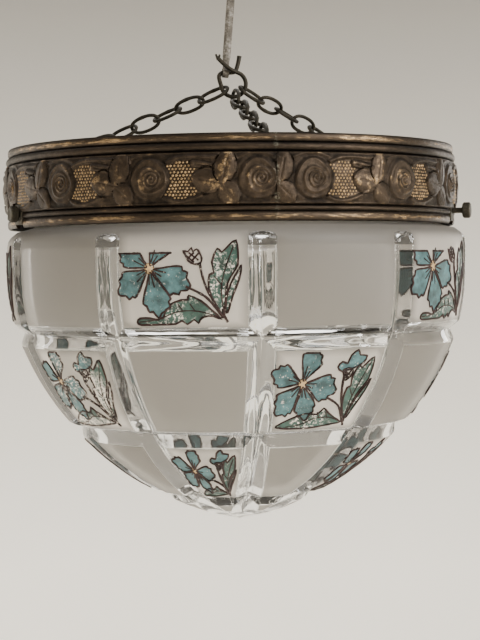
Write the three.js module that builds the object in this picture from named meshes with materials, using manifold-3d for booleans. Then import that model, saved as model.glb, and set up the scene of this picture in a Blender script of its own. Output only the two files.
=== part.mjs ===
// Glass bowl pendant: a pressed glass bowl held by three thumb screws in an embossed brass
// gallery, hung on three iron chains from one gathering ring and a flat strap.
// Millimetres, +Z up, -Y is the front. The origin is the centre of the strap's upper eye.
import * as THREE from 'three';
import { mergeVertices } from 'three/addons/utils/BufferGeometryUtils.js';
import Module from 'manifold-3d';

const wasm = await Module();
wasm.setup();

// Shared values
const CLEARANCE = 0.3;
const CUT_PAST = 2;
const ROUND_STEPS = 48;
const WIRE_SIDES = 6;

// Strap
const STRAP_WIDTH = 5.2;
const STRAP_FOOT_WIDTH = 4;
const STRAP_THICKNESS = 1.2;
const STRAP_DROP = 58;
const STRAP_OFFSET = 5;
const STRAP_EYE_RADIUS = 5.6;
const STRAP_EYE_HOLE = 3.3;
const STRAP_ROLL_WALL = 1.1;
const STRAP_ROLL_PLAY = 0.9;
const STRAP_NECK = 7;
const STRAP_TAPER = 3.5;

// Gathering ring
const RING_WIRE = 2.8;
const RING_RADIUS = 8;
const RING_PRONG_RISE = 11;
const RING_PRONG_LEAN = 4.6;
const RING_TAIL_LEAN = 11;
const RING_LAYER = 4.2;
const RING_TURN_START = -85;
const RING_TURN_END = 165;
const RING_HOOK_ANGLE = 60;
const RING_PLAY = 0.9;

// Chains
const CHAIN_COUNT = 3;
const CHAIN_RISE = 49.5;
const CHAIN_LINKS = 7;
const LINK_WIRE = 2.4;
const LINK_WIDTH = 12.6;
const TOP_LINK_LENGTH = 24;
const TOP_LINK_WIDTH = 13.5;
const FRONT_CHAIN_ROLL = 80;
const SIDE_CHAIN_ROLL = 40;
const SQUARE_TURN = 90;
const SIDE_CHAIN_TURNS = [98, 73, 92, 102, 102, 102, 102];
const LINK_PLAY = 0.6;

// Chain eyes
const EYE_WIRE = 2.4;
const EYE_RADIUS = 4.7;
const EYE_BELOW_TOP = 6;

// Gallery band
const BAND_RADIUS = 147;
const BAND_HEIGHT = 51;
const BAND_WALL = 1.6;
const RIM_BEAD = 5.4;
const RIM_BEAD_INSET = 0.7;
const UPPER_BEAD = 5.2;
const UPPER_BEAD_PROUD = 0.7;
const FRIEZE_SWELL = 1.8;
const SMALL_BEAD = 3.4;
const SMALL_BEAD_INSET = 0.6;
const LOWER_BEAD = 6;
const LOWER_BEAD_INSET = 0.9;
const BEAD_GROOVE = 1.2;
const BAND_FOLD = 3.4;

// Hoop and seam strip
const HOOP_THICKNESS = 1.5;
const HOOP_HEIGHT = 12;
const HOOP_BELOW_TOP = 1;
const HOOP_GAP = 0.5;
const SEAM_STRIP_WIDTH = 12;
const SEAM_STRIP_THICKNESS = 0.8;

// Screw brackets and their rivets
const BRACKET_ANGLES = [63.5, 174.5, -75];
const BRACKET_WIDTH = 13;
const BRACKET_HEIGHT = 13;
const BRACKET_STANDS_OUT = 0.5;
const LEG_WIDTH = 9;
const LEG_THICKNESS = 1.4;
const RIVET_RADIUS = 1.5;
const RIVET_HEAD_RADIUS = 3;
const RIVET_HEAD_HEIGHT = 1.1;
const RIVET_BELOW_TOP = 7;

// Thumb screws
const SCREW_HEIGHT = 8.6;
const SCREW_RADIUS = 2;
const SCREW_SPARE = 0.5;
const HEAD_RADIUS = 5;
const HEAD_LENGTH = 5;
const HEAD_CHAMFER = 0.6;
const TIP_LENGTH = 3;

// Glass bowl
const BOWL_OVERHANG = 3;
const BOWL_DEPTH = 192;
const BOWL_SHIFT = 3.2;
const BOWL_TURN = -4.7;
const BOWL_COLUMNS = 10;
const GLASS_WALL = 8;
const NECK_INSET = 16;
const NECK_START = 2.5;
const LIP_REACH = 5;
const LIP_HEIGHT = 6;
const CUT_DEPTH = 4.6;
const CUT_WIDTH = 17;
const CUT_TOP = 6;
const CUT_END = 6;
const CROSS_CUT_WIDTH = 15;
const TIP_CAP = 17.5;
const BOTTOM_ROW = 44.5;
const MIDDLE_ROW = 62;

// The pendant hangs with its centre of mass under the strap's upper eye.
const PENDANT_OFFSET = -2.3;

const degrees = THREE.MathUtils.degToRad;

// How far out a flat face of some width fits inside a faceted round bore.
function flatInside(radius, width) {
  return Math.sqrt((radius * Math.cos(Math.PI / ROUND_STEPS)) ** 2 - (width / 2) ** 2);
}

// Sizes and places that follow from the values above, measured from the origin
const RIM_BEAD_RADIUS = BAND_RADIUS - RIM_BEAD_INSET;
const UPPER_BEAD_RADIUS = BAND_RADIUS + UPPER_BEAD_PROUD;
const SMALL_BEAD_RADIUS = BAND_RADIUS - SMALL_BEAD_INSET;
const LOWER_BEAD_RADIUS = BAND_RADIUS - LOWER_BEAD_INSET;
const BAND_BORE_RADIUS = BAND_RADIUS - BAND_FOLD;
const BOWL_RADIUS = BAND_RADIUS + BOWL_OVERHANG;
const NECK_RADIUS = BAND_RADIUS - NECK_INSET;
const LIP_RADIUS = NECK_RADIUS + LIP_REACH;
const CROSS_CUTS = [MIDDLE_ROW + BOTTOM_ROW, BOTTOM_ROW, 0].map((rows) => BOWL_DEPTH - TIP_CAP - rows);
const RING_CENTRE = new THREE.Vector3(0, 0, -STRAP_DROP - RING_RADIUS);
const EYE_HEIGHT = BAND_HEIGHT - EYE_BELOW_TOP;
const BAND_FOOT = RING_CENTRE.z - CHAIN_RISE - EYE_HEIGHT;
const HOOP_OUTER = BAND_BORE_RADIUS - HOOP_GAP;
const HOOP_INNER = HOOP_OUTER - HOOP_THICKNESS;
const LEG_OUTER = flatInside(HOOP_INNER, LEG_WIDTH) - CLEARANCE;
const LEG_INNER = LEG_OUTER - LEG_THICKNESS;
const EYE_CENTRE_RADIUS = HOOP_INNER - CLEARANCE - EYE_WIRE / 2 - EYE_RADIUS;
const LIP_UNDERSIDE = SCREW_HEIGHT + SCREW_RADIUS + CLEARANCE;
const BRACKET_FACE = LOWER_BEAD_RADIUS + BRACKET_STANDS_OUT;
const NECK_NEAREST = NECK_RADIUS - BOWL_SHIFT;
const SCREW_LENGTH = BRACKET_FACE + SCREW_SPARE - NECK_NEAREST - TIP_LENGTH - 2 * CLEARANCE;

const lamp = new THREE.Group();
const pendant = new THREE.Group();
pendant.position.set(PENDANT_OFFSET, 0, BAND_FOOT);
lamp.add(pendant);

const iron = () => new THREE.MeshStandardMaterial({ color: 0x3f3b34, roughness: 0.7, metalness: 0.8 });
const brass = () => new THREE.MeshStandardMaterial({ color: 0x5a4630, roughness: 0.55, metalness: 0.9 });
const steel = () => new THREE.MeshStandardMaterial({ color: 0x6b675e, roughness: 0.6, metalness: 0.8 });
const fibre = () => new THREE.MeshStandardMaterial({ color: 0x6a5238, roughness: 0.9, metalness: 0 });
const glass = () => new THREE.MeshStandardMaterial({ color: 0xb4aea6, roughness: 0.3, metalness: 0 });

function addMesh(parent, name, geometry, material) {
  const mesh = new THREE.Mesh(geometry, material);
  mesh.name = name;
  parent.add(mesh);
  return mesh;
}

// Turns a closed geometry into a solid that can be joined and cut.
function solidOf(geometry) {
  const bare = geometry.clone();
  bare.deleteAttribute('normal');
  bare.deleteAttribute('uv');
  const merged = mergeVertices(bare, 1e-4);
  return new wasm.Manifold(new wasm.Mesh({
    numProp: 3,
    vertProperties: new Float32Array(merged.attributes.position.array),
    triVerts: new Uint32Array(merged.index.array),
  }));
}

function geometryOf(solid) {
  const mesh = solid.getMesh();
  const geometry = new THREE.BufferGeometry();
  geometry.setAttribute('position', new THREE.BufferAttribute(new Float32Array(mesh.vertProperties), 3));
  geometry.setIndex(new THREE.BufferAttribute(new Uint32Array(mesh.triVerts), 1));
  geometry.computeVertexNormals();
  return geometry;
}

// A box from its middle and its full sizes.
function box(x, y, z, width, depth, height) {
  const geometry = new THREE.BoxGeometry(width, depth, height);
  geometry.translate(x, y, z);
  return geometry;
}

// A round bar along -Y, from one distance from the axis to another.
function radialBar(from, to, z, radius, sides) {
  const geometry = new THREE.CylinderGeometry(radius, radius, to - from, sides);
  geometry.translate(0, -(from + to) / 2, z);
  return geometry;
}

// A body of revolution about Z; the closed outline lists [radius, height] pairs.
function revolve(outline, steps) {
  const points = outline.map(([radius, height]) => new THREE.Vector2(radius, height));
  const geometry = new THREE.LatheGeometry([...points, points[0]], steps);
  geometry.rotateX(Math.PI / 2);
  return geometry;
}

// Strap: a flat bar with a round upper eye and a rolled lower eye

function strapGeometry() {
  const length = Math.hypot(STRAP_DROP, STRAP_OFFSET);
  const rollInner = RING_WIRE / 2 + STRAP_ROLL_PLAY;
  const rollOuter = rollInner + STRAP_ROLL_WALL;
  const outline = new THREE.Shape();
  outline.moveTo(-STRAP_WIDTH / 2, -STRAP_EYE_RADIUS * 0.5);
  outline.lineTo(-STRAP_WIDTH / 2, -length + STRAP_NECK + STRAP_TAPER);
  outline.lineTo(-STRAP_FOOT_WIDTH / 2, -length + STRAP_NECK);
  outline.lineTo(-STRAP_FOOT_WIDTH / 2, -length + rollInner + STRAP_ROLL_WALL / 2);
  outline.lineTo(STRAP_FOOT_WIDTH / 2, -length + rollInner + STRAP_ROLL_WALL / 2);
  outline.lineTo(STRAP_FOOT_WIDTH / 2, -length + STRAP_NECK);
  outline.lineTo(STRAP_WIDTH / 2, -length + STRAP_NECK + STRAP_TAPER);
  outline.lineTo(STRAP_WIDTH / 2, -STRAP_EYE_RADIUS * 0.5);
  const flat = (shape, steps) => {
    const geometry = new THREE.ExtrudeGeometry(shape, {
      depth: STRAP_THICKNESS, bevelEnabled: false, curveSegments: steps,
    });
    geometry.translate(0, 0, -STRAP_THICKNESS / 2);
    geometry.rotateX(Math.PI / 2);
    return geometry;
  };
  const eye = new THREE.Shape();
  eye.absarc(0, 0, STRAP_EYE_RADIUS, 0, 2 * Math.PI);
  const hole = new THREE.CylinderGeometry(STRAP_EYE_HOLE, STRAP_EYE_HOLE, 4 * STRAP_THICKNESS, 16);
  const roll = new THREE.Shape();
  roll.absarc(0, 0, rollOuter, 0, 2 * Math.PI);
  const rollBore = new THREE.Path();
  rollBore.absarc(0, 0, rollInner, 0, 2 * Math.PI, true);
  roll.holes.push(rollBore);
  const rolled = new THREE.ExtrudeGeometry(roll, {
    depth: STRAP_FOOT_WIDTH, bevelEnabled: false, curveSegments: 8,
  });
  rolled.translate(0, 0, -STRAP_FOOT_WIDTH / 2);
  rolled.rotateY(Math.PI / 2);
  rolled.translate(0, 0, -length);
  const strap = solidOf(flat(outline)).add(solidOf(flat(eye, 10))).subtract(solidOf(hole))
    .add(solidOf(rolled));
  const geometry = geometryOf(strap);
  geometry.rotateY(Math.atan2(STRAP_OFFSET, STRAP_DROP));
  return geometry;
}

addMesh(lamp, 'hanger_strap', strapGeometry(), steel());

// Gathering ring: one wire wound a turn and a quarter, with both ends standing up

function ringPoint(angle) {
  const share = (angle - RING_TURN_START) / (RING_TURN_END - RING_TURN_START);
  return new THREE.Vector3(
    RING_RADIUS * Math.sin(degrees(angle)),
    -RING_LAYER * share,
    -RING_RADIUS * Math.cos(degrees(angle)),
  );
}

function ringGeometry() {
  const top = RING_RADIUS;
  const points = [
    new THREE.Vector3(RING_PRONG_LEAN, 0.6, top + RING_PRONG_RISE),
    new THREE.Vector3(RING_PRONG_LEAN * 0.74, 0.4, top + RING_PRONG_RISE / 2),
    new THREE.Vector3(RING_PRONG_LEAN * 0.35, 0.1, top + RING_WIRE / 3),
    new THREE.Vector3(-1.5, 0, top),
    new THREE.Vector3(-STRAP_OFFSET, 0, top),
    new THREE.Vector3(-STRAP_OFFSET - STRAP_FOOT_WIDTH * 0.55, 0, top - 0.1),
    new THREE.Vector3(-STRAP_OFFSET - STRAP_FOOT_WIDTH, -0.1, top - 1.6),
    new THREE.Vector3(-RING_RADIUS - RING_WIRE * 0.46, -0.2, top / 2),
  ];
  for (let step = 0; step <= 10; step += 1) {
    points.push(ringPoint(RING_TURN_START + (RING_TURN_END - RING_TURN_START) * step / 10));
  }
  points.push(
    new THREE.Vector3(-RING_TAIL_LEAN * 0.23, -RING_LAYER - 1, top + RING_WIRE * 0.57),
    new THREE.Vector3(-RING_TAIL_LEAN * 0.64, -RING_LAYER - 1.8, top + RING_PRONG_RISE * 0.45),
    new THREE.Vector3(-RING_TAIL_LEAN, -RING_LAYER - 2.4, top + RING_PRONG_RISE * 0.78),
  );
  const path = new THREE.CatmullRomCurve3(points, false, 'centripetal');
  const section = new THREE.Shape();
  section.absarc(0, 0, RING_WIRE / 2, 0, 2 * Math.PI);
  const geometry = new THREE.ExtrudeGeometry(section, {
    steps: 52, curveSegments: 4, extrudePath: path, bevelEnabled: false,
  });
  geometry.translate(RING_CENTRE.x, RING_CENTRE.y, RING_CENTRE.z);
  return geometry;
}

addMesh(lamp, 'gathering_ring', ringGeometry(), iron());

// Chains: one top link and a run of oval links from the ring to each eye

// An oval link lying along X, wide along Y.
function linkGeometry(centreLength, width, wire) {
  const round = width / 2 - wire / 2;
  const geometry = new THREE.TorusGeometry(round, wire / 2, WIRE_SIDES, 12);
  const position = geometry.attributes.position;
  for (let i = 0; i < position.count; i += 1) {
    const angle = Math.atan2(position.getY(i), position.getX(i));
    position.setX(i, position.getX(i) + (centreLength / 2 - round) * Math.cos(angle));
  }
  return geometry;
}

function addLink(name, start, along, side, roll, centreLength, width, wire) {
  const up = new THREE.Vector3().crossVectors(along, side);
  if (up.z < 0) {
    up.negate();
  }
  const wide = side.clone().multiplyScalar(Math.cos(degrees(roll)))
    .addScaledVector(up, Math.sin(degrees(roll)));
  const normal = new THREE.Vector3().crossVectors(along, wide);
  const geometry = linkGeometry(centreLength, width, wire);
  geometry.applyMatrix4(new THREE.Matrix4().makeBasis(along, wide, normal));
  const middle = start.clone().addScaledVector(along, centreLength / 2);
  geometry.translate(middle.x, middle.y, middle.z);
  addMesh(lamp, name, geometry, iron());
}

// Each link is turned from the one above it; hand mirrors the turns.
function addChain(number, azimuth, hookAngle, topRoll, turns, hand) {
  const turn = new THREE.Vector3(Math.sin(degrees(azimuth)), -Math.cos(degrees(azimuth)), 0);
  const side = new THREE.Vector3(-turn.y, turn.x, 0);
  const eye = new THREE.Vector3(PENDANT_OFFSET, 0, BAND_FOOT + EYE_HEIGHT)
    .addScaledVector(turn, EYE_CENTRE_RADIUS);
  const hook = ringPoint(hookAngle).add(RING_CENTRE);
  const along = eye.clone().sub(hook).normalize();
  side.addScaledVector(along, -side.dot(along)).normalize();
  const start = hook.clone().addScaledVector(along, -(RING_WIRE + LINK_WIRE) / 2 - RING_PLAY);
  const reach = EYE_RADIUS - (EYE_WIRE + LINK_WIRE) / 2 - LINK_PLAY;
  const end = eye.clone().addScaledVector(along, -reach);
  const join = LINK_WIRE + LINK_PLAY;
  const topLength = TOP_LINK_LENGTH - LINK_WIRE;
  const pitch = (start.distanceTo(end) - topLength) / CHAIN_LINKS;
  let roll = hand * topRoll;
  addLink(`chain_${number}_top_link`, start, along, side, roll, topLength, TOP_LINK_WIDTH, LINK_WIRE);
  for (let i = 1; i <= CHAIN_LINKS; i += 1) {
    const from = start.clone().addScaledVector(along, topLength + (i - 1) * pitch - join);
    roll += hand * (turns[i - 1] ?? SQUARE_TURN);
    addLink(`chain_${number}_link_${i}`, from, along, side, roll, pitch + join, LINK_WIDTH, LINK_WIRE);
  }
}

addChain(1, 0, 0, FRONT_CHAIN_ROLL, [], 1);
addChain(2, 360 / CHAIN_COUNT, RING_HOOK_ANGLE, SIDE_CHAIN_ROLL, SIDE_CHAIN_TURNS, 1);
addChain(3, -360 / CHAIN_COUNT, -RING_HOOK_ANGLE, SIDE_CHAIN_ROLL, SIDE_CHAIN_TURNS, -1);

// Chain eyes: a closed wire eye with its stem through the hoop

function eyeGeometry() {
  const loop = new THREE.TorusGeometry(EYE_RADIUS, EYE_WIRE / 2, WIRE_SIDES, 14);
  loop.rotateY(Math.PI / 2);
  loop.translate(0, -EYE_CENTRE_RADIUS, EYE_HEIGHT);
  const stem = radialBar(EYE_CENTRE_RADIUS + EYE_RADIUS, HOOP_OUTER - CLEARANCE, EYE_HEIGHT,
    EYE_WIRE / 2, 10);
  return geometryOf(solidOf(loop).add(solidOf(stem)));
}

for (let i = 0; i < CHAIN_COUNT; i += 1) {
  const eye = addMesh(pendant, `chain_eye_${i + 1}`, eyeGeometry(), iron());
  eye.rotation.z = degrees(360 / CHAIN_COUNT * i);
}

// Gallery band: beads, a swelling frieze and beads again, notched for the brackets

function bandOutline() {
  const friezeFoot = LOWER_BEAD + SMALL_BEAD;
  const friezeTop = BAND_HEIGHT - RIM_BEAD - UPPER_BEAD;
  const middle = (friezeFoot + friezeTop) / 2;
  const quarter = (friezeTop - friezeFoot) / 4;
  const bore = BAND_BORE_RADIUS;
  return [
    [bore, 0],
    [LOWER_BEAD_RADIUS - BEAD_GROOVE, 0],
    [LOWER_BEAD_RADIUS, LOWER_BEAD * 0.2],
    [LOWER_BEAD_RADIUS, LOWER_BEAD * 0.8],
    [LOWER_BEAD_RADIUS - BEAD_GROOVE, LOWER_BEAD],
    [SMALL_BEAD_RADIUS, LOWER_BEAD + SMALL_BEAD * 0.25],
    [SMALL_BEAD_RADIUS, LOWER_BEAD + SMALL_BEAD * 0.7],
    [SMALL_BEAD_RADIUS - BEAD_GROOVE, friezeFoot],
    [BAND_RADIUS, friezeFoot + 0.6],
    [BAND_RADIUS + FRIEZE_SWELL * 0.75, middle - quarter],
    [BAND_RADIUS + FRIEZE_SWELL, middle],
    [BAND_RADIUS + FRIEZE_SWELL * 0.75, middle + quarter],
    [BAND_RADIUS, friezeTop - 0.6],
    [UPPER_BEAD_RADIUS - 1.4 * BEAD_GROOVE, friezeTop],
    [UPPER_BEAD_RADIUS, friezeTop + UPPER_BEAD * 0.2],
    [UPPER_BEAD_RADIUS, friezeTop + UPPER_BEAD * 0.8],
    [RIM_BEAD_RADIUS - BEAD_GROOVE, BAND_HEIGHT - RIM_BEAD],
    [RIM_BEAD_RADIUS, BAND_HEIGHT - RIM_BEAD * 0.8],
    [RIM_BEAD_RADIUS, BAND_HEIGHT - RIM_BEAD * 0.3],
    [RIM_BEAD_RADIUS - 1.5, BAND_HEIGHT],
    [bore, BAND_HEIGHT],
    [bore, BAND_HEIGHT - HOOP_HEIGHT - HOOP_BELOW_TOP - 1],
    [BAND_RADIUS - BAND_WALL, BAND_HEIGHT - HOOP_HEIGHT - HOOP_BELOW_TOP - 2],
    [BAND_RADIUS - BAND_WALL, friezeFoot + 3],
    [bore, friezeFoot + 2],
  ];
}

function bandGeometry() {
  const cutters = BRACKET_ANGLES.map((azimuth) => {
    const top = SCREW_HEIGHT + BRACKET_HEIGHT / 2 + CLEARANCE;
    const depth = BRACKET_FACE + CUT_PAST - LEG_INNER;
    const cutter = box(0, -LEG_INNER - depth / 2, (top - CUT_PAST) / 2,
      BRACKET_WIDTH + 2 * CLEARANCE, depth, top + CUT_PAST);
    cutter.rotateZ(degrees(azimuth));
    return solidOf(cutter);
  });
  const band = solidOf(revolve(bandOutline(), ROUND_STEPS));
  return geometryOf(cutters.reduce((rest, cutter) => rest.subtract(cutter), band));
}

addMesh(pendant, 'gallery_band', bandGeometry(), brass());

// Seam strip: a plate behind the band's vertical joint

function seamStripGeometry() {
  const foot = LOWER_BEAD + SMALL_BEAD + 4;
  const top = BAND_HEIGHT - HOOP_HEIGHT - HOOP_BELOW_TOP - 3;
  const outer = flatInside(BAND_RADIUS - BAND_WALL, SEAM_STRIP_WIDTH) - CLEARANCE;
  return box(0, -outer + SEAM_STRIP_THICKNESS / 2, (foot + top) / 2, SEAM_STRIP_WIDTH,
    SEAM_STRIP_THICKNESS, top - foot);
}

addMesh(pendant, 'seam_strip', seamStripGeometry(), brass());

// Inner hoop: the iron hoop that carries the chain eyes and the brackets

function hoopGeometry() {
  const top = BAND_HEIGHT - HOOP_BELOW_TOP;
  const outline = [
    [HOOP_INNER, top - HOOP_HEIGHT],
    [HOOP_OUTER, top - HOOP_HEIGHT],
    [HOOP_OUTER, top],
    [HOOP_INNER, top],
  ];
  let hoop = solidOf(revolve(outline, ROUND_STEPS));
  for (let i = 0; i < CHAIN_COUNT; i += 1) {
    const hole = radialBar(HOOP_INNER - CUT_PAST, HOOP_OUTER + CUT_PAST, EYE_HEIGHT,
      EYE_WIRE / 2 + CLEARANCE, 10);
    hole.rotateZ(degrees(360 / CHAIN_COUNT * i));
    hoop = hoop.subtract(solidOf(hole));
  }
  BRACKET_ANGLES.forEach((azimuth) => {
    const hole = radialBar(HOOP_INNER - CUT_PAST, HOOP_OUTER + CUT_PAST, BAND_HEIGHT - RIVET_BELOW_TOP,
      RIVET_RADIUS + CLEARANCE, 10);
    hole.rotateZ(degrees(azimuth));
    hoop = hoop.subtract(solidOf(hole));
  });
  return geometryOf(hoop);
}

addMesh(pendant, 'inner_hoop', hoopGeometry(), iron());

// Screw brackets: a tapped block in the band's notch with a leg up to the hoop

function bracketGeometry() {
  const blockDepth = BRACKET_FACE - LEG_INNER;
  const block = box(0, -LEG_INNER - blockDepth / 2, SCREW_HEIGHT, BRACKET_WIDTH, blockDepth,
    BRACKET_HEIGHT);
  const legTop = BAND_HEIGHT - HOOP_BELOW_TOP - 1;
  const leg = box(0, -(LEG_INNER + LEG_OUTER) / 2, (SCREW_HEIGHT + legTop) / 2, LEG_WIDTH,
    LEG_THICKNESS, legTop - SCREW_HEIGHT);
  const bore = radialBar(LEG_INNER - CUT_PAST, BRACKET_FACE + CUT_PAST, SCREW_HEIGHT,
    SCREW_RADIUS + CLEARANCE, 12);
  const rivetHole = radialBar(LEG_INNER - CUT_PAST, LEG_OUTER + CUT_PAST,
    BAND_HEIGHT - RIVET_BELOW_TOP, RIVET_RADIUS + CLEARANCE, 10);
  const bracket = solidOf(block).add(solidOf(leg)).subtract(solidOf(bore));
  return geometryOf(bracket.subtract(solidOf(rivetHole)));
}

function rivetGeometry() {
  const height = BAND_HEIGHT - RIVET_BELOW_TOP;
  const face = LEG_INNER - CLEARANCE;
  const head = new THREE.CylinderGeometry(RIVET_HEAD_RADIUS * 0.6, RIVET_HEAD_RADIUS,
    RIVET_HEAD_HEIGHT, 12);
  head.translate(0, -face + RIVET_HEAD_HEIGHT / 2, height);
  const shank = radialBar(face - RIVET_HEAD_HEIGHT / 2, HOOP_OUTER - CLEARANCE, height,
    RIVET_RADIUS, 10);
  return { head, shank };
}

// Thumb screws: a plain shank with a round head, and a fibre tip against the glass

function screwGeometry() {
  const outline = [
    [0, 0],
    [SCREW_RADIUS, 0],
    [SCREW_RADIUS, SCREW_LENGTH],
    [HEAD_RADIUS - HEAD_CHAMFER, SCREW_LENGTH],
    [HEAD_RADIUS, SCREW_LENGTH + HEAD_CHAMFER],
    [HEAD_RADIUS, SCREW_LENGTH + HEAD_LENGTH - HEAD_CHAMFER],
    [HEAD_RADIUS - HEAD_CHAMFER, SCREW_LENGTH + HEAD_LENGTH],
    [0, SCREW_LENGTH + HEAD_LENGTH],
  ];
  const points = outline.map(([radius, height]) => new THREE.Vector2(radius, height));
  const geometry = new THREE.LatheGeometry(points, 16);
  geometry.rotateX(Math.PI);
  return geometry;
}

// Distance from the band's axis to the shifted neck at an azimuth.
function neckDistance(azimuth) {
  return NECK_RADIUS + BOWL_SHIFT * Math.sin(degrees(azimuth));
}

BRACKET_ANGLES.forEach((azimuth, index) => {
  const number = index + 1;
  const spoke = new THREE.Group();
  spoke.rotation.z = degrees(azimuth);
  pendant.add(spoke);
  addMesh(spoke, `screw_bracket_${number}`, bracketGeometry(), iron());
  const { head, shank } = rivetGeometry();
  addMesh(spoke, `bracket_rivet_${number}`, geometryOf(solidOf(head).add(solidOf(shank))), iron());
  const tipFoot = neckDistance(azimuth) + CLEARANCE;
  const tip = addMesh(spoke, `screw_tip_${number}`,
    new THREE.CylinderGeometry(SCREW_RADIUS, SCREW_RADIUS, TIP_LENGTH, 16), fibre());
  tip.position.set(0, -tipFoot - TIP_LENGTH / 2, SCREW_HEIGHT);
  const screw = addMesh(spoke, `thumb_screw_${number}`, screwGeometry(), iron());
  screw.position.set(0, -tipFoot - TIP_LENGTH - CLEARANCE, SCREW_HEIGHT);
});

// Glass bowl: a lip and neck inside the band, and a body with mitre cuts between its panels

// The body's outline from the shoulder to the tip, before the cuts; heights are from the
// band's foot, and the widest place is at the shoulder.
const bodyCurve = new THREE.SplineCurve([
  [0.957, 0.01], [0.989, 0.032], [1, 0.065], [0.999, 0.16], [0.989, 0.255], [0.964, 0.345],
  [0.936, 0.405], [0.874, 0.505], [0.799, 0.597], [0.713, 0.678], [0.613, 0.758],
  [0.487, 0.836], [0.38, 0.886], [0.3, 0.923], [0.191, 0.962], [0.095, 0.985], [0, 1],
].map(([across, down]) => new THREE.Vector2(BOWL_RADIUS * across, -BOWL_DEPTH * down)));

// The share of the body's length at which it reaches a depth.
function shareAtDepth(depth) {
  let low = 0;
  let high = 1;
  for (let i = 0; i < 40; i += 1) {
    const middle = (low + high) / 2;
    if (-bodyCurve.getPointAt(middle).y < depth) {
      low = middle;
    } else {
      high = middle;
    }
  }
  return low;
}

const bodyLength = bodyCurve.getLength();
const crossCutPlaces = CROSS_CUTS.map((depth) => shareAtDepth(depth) * bodyLength);

// Stations down the body, as distances along its outline.
function bodyStations() {
  const half = CROSS_CUT_WIDTH / 2;
  const start = CUT_TOP + CUT_END;
  const row = crossCutPlaces[0] - half - start;
  const places = [0, CUT_TOP * 0.67, start, start + row / 3, start + row * 2 / 3];
  crossCutPlaces.forEach((place, index) => {
    places.push(place - half, place, place + half);
    const next = crossCutPlaces[index + 1];
    if (next) {
      const gap = next - place - 2 * half;
      places.push(place + half + gap / 3, place + half + gap * 2 / 3);
    }
  });
  const last = crossCutPlaces[crossCutPlaces.length - 1] + half;
  places.push(last + (bodyLength - last) * 0.45);
  return places;
}

// How deep the level cuts go at a distance along the outline.
function crossCut(place) {
  const nearest = Math.min(...crossCutPlaces.map((cut) => Math.abs(place - cut)));
  return CUT_DEPTH * Math.max(0, 1 - nearest / (CROSS_CUT_WIDTH / 2));
}

// How deep the upright cuts go: they start below the shoulder and fade out at the tip.
function uprightCut(place, radius) {
  const start = Math.min(1, Math.max(0, (place - CUT_TOP) / CUT_END));
  const fade = Math.min(1, radius / (BOWL_RADIUS * 0.3));
  return CUT_DEPTH * start * fade;
}

// Angles round one column, from the middle of a cut to the middle of the next panel and on.
function columnAngles(radius) {
  const pitch = 2 * Math.PI / BOWL_COLUMNS;
  const edge = Math.min(CUT_WIDTH / 2 / Math.max(radius, 1), pitch * 0.42);
  const panel = pitch - 2 * edge;
  return [0, edge, edge + panel / 3, edge + panel * 2 / 3, pitch - edge];
}

function bowlGeometry() {
  const rings = [];
  const addRing = (radiusAt, heightAt, wide) => {
    const ring = [];
    for (let column = 0; column < BOWL_COLUMNS; column += 1) {
      columnAngles(wide).forEach((angle, step) => {
        const turn = angle + column * 2 * Math.PI / BOWL_COLUMNS;
        const inCut = step === 0;
        ring.push([radiusAt(inCut) * Math.sin(turn), -radiusAt(inCut) * Math.cos(turn), heightAt(inCut)]);
      });
    }
    rings.push(ring);
  };
  const plainRing = (radius, height) => addRing(() => radius, () => height, Math.max(radius, 1));
  const bore = NECK_RADIUS - GLASS_WALL * 0.75;
  plainRing(bore, LIP_UNDERSIDE + LIP_HEIGHT);
  plainRing(LIP_RADIUS, LIP_UNDERSIDE + LIP_HEIGHT);
  plainRing(LIP_RADIUS, LIP_UNDERSIDE);
  plainRing(NECK_RADIUS, LIP_UNDERSIDE);
  plainRing(NECK_RADIUS, NECK_START);
  const shoulder = bodyCurve.getPointAt(0);
  plainRing((NECK_RADIUS + 2 * shoulder.x) / 3, shoulder.y * 0.36);
  const stations = bodyStations();
  stations.forEach((place) => {
    const share = place / bodyLength;
    const point = bodyCurve.getPointAt(share);
    const tangent = bodyCurve.getTangentAt(share);
    const normal = new THREE.Vector2(-tangent.y, tangent.x);
    const level = crossCut(place);
    const upright = uprightCut(place, point.x);
    const depth = (inCut) => Math.max(level, inCut ? upright : 0);
    addRing((inCut) => point.x - normal.x * depth(inCut), (inCut) => point.y - normal.y * depth(inCut),
      point.x);
  });
  const outerCount = rings.length;
  const innerStations = [...stations].reverse().filter((place, index) => index % 2 === 1);
  innerStations.forEach((place) => {
    const share = place / bodyLength;
    const point = bodyCurve.getPointAt(share);
    const tangent = bodyCurve.getTangentAt(share);
    const radius = point.x + tangent.y * GLASS_WALL;
    const height = point.y - tangent.x * GLASS_WALL;
    if (radius > 6 && height < -GLASS_WALL) {
      plainRing(radius, height);
    }
  });
  plainRing(bore, NECK_START - GLASS_WALL * 0.6);
  return closeRings(rings, outerCount, [0, 0, -BOWL_DEPTH], [0, 0, -BOWL_DEPTH + GLASS_WALL]);
}

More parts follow.
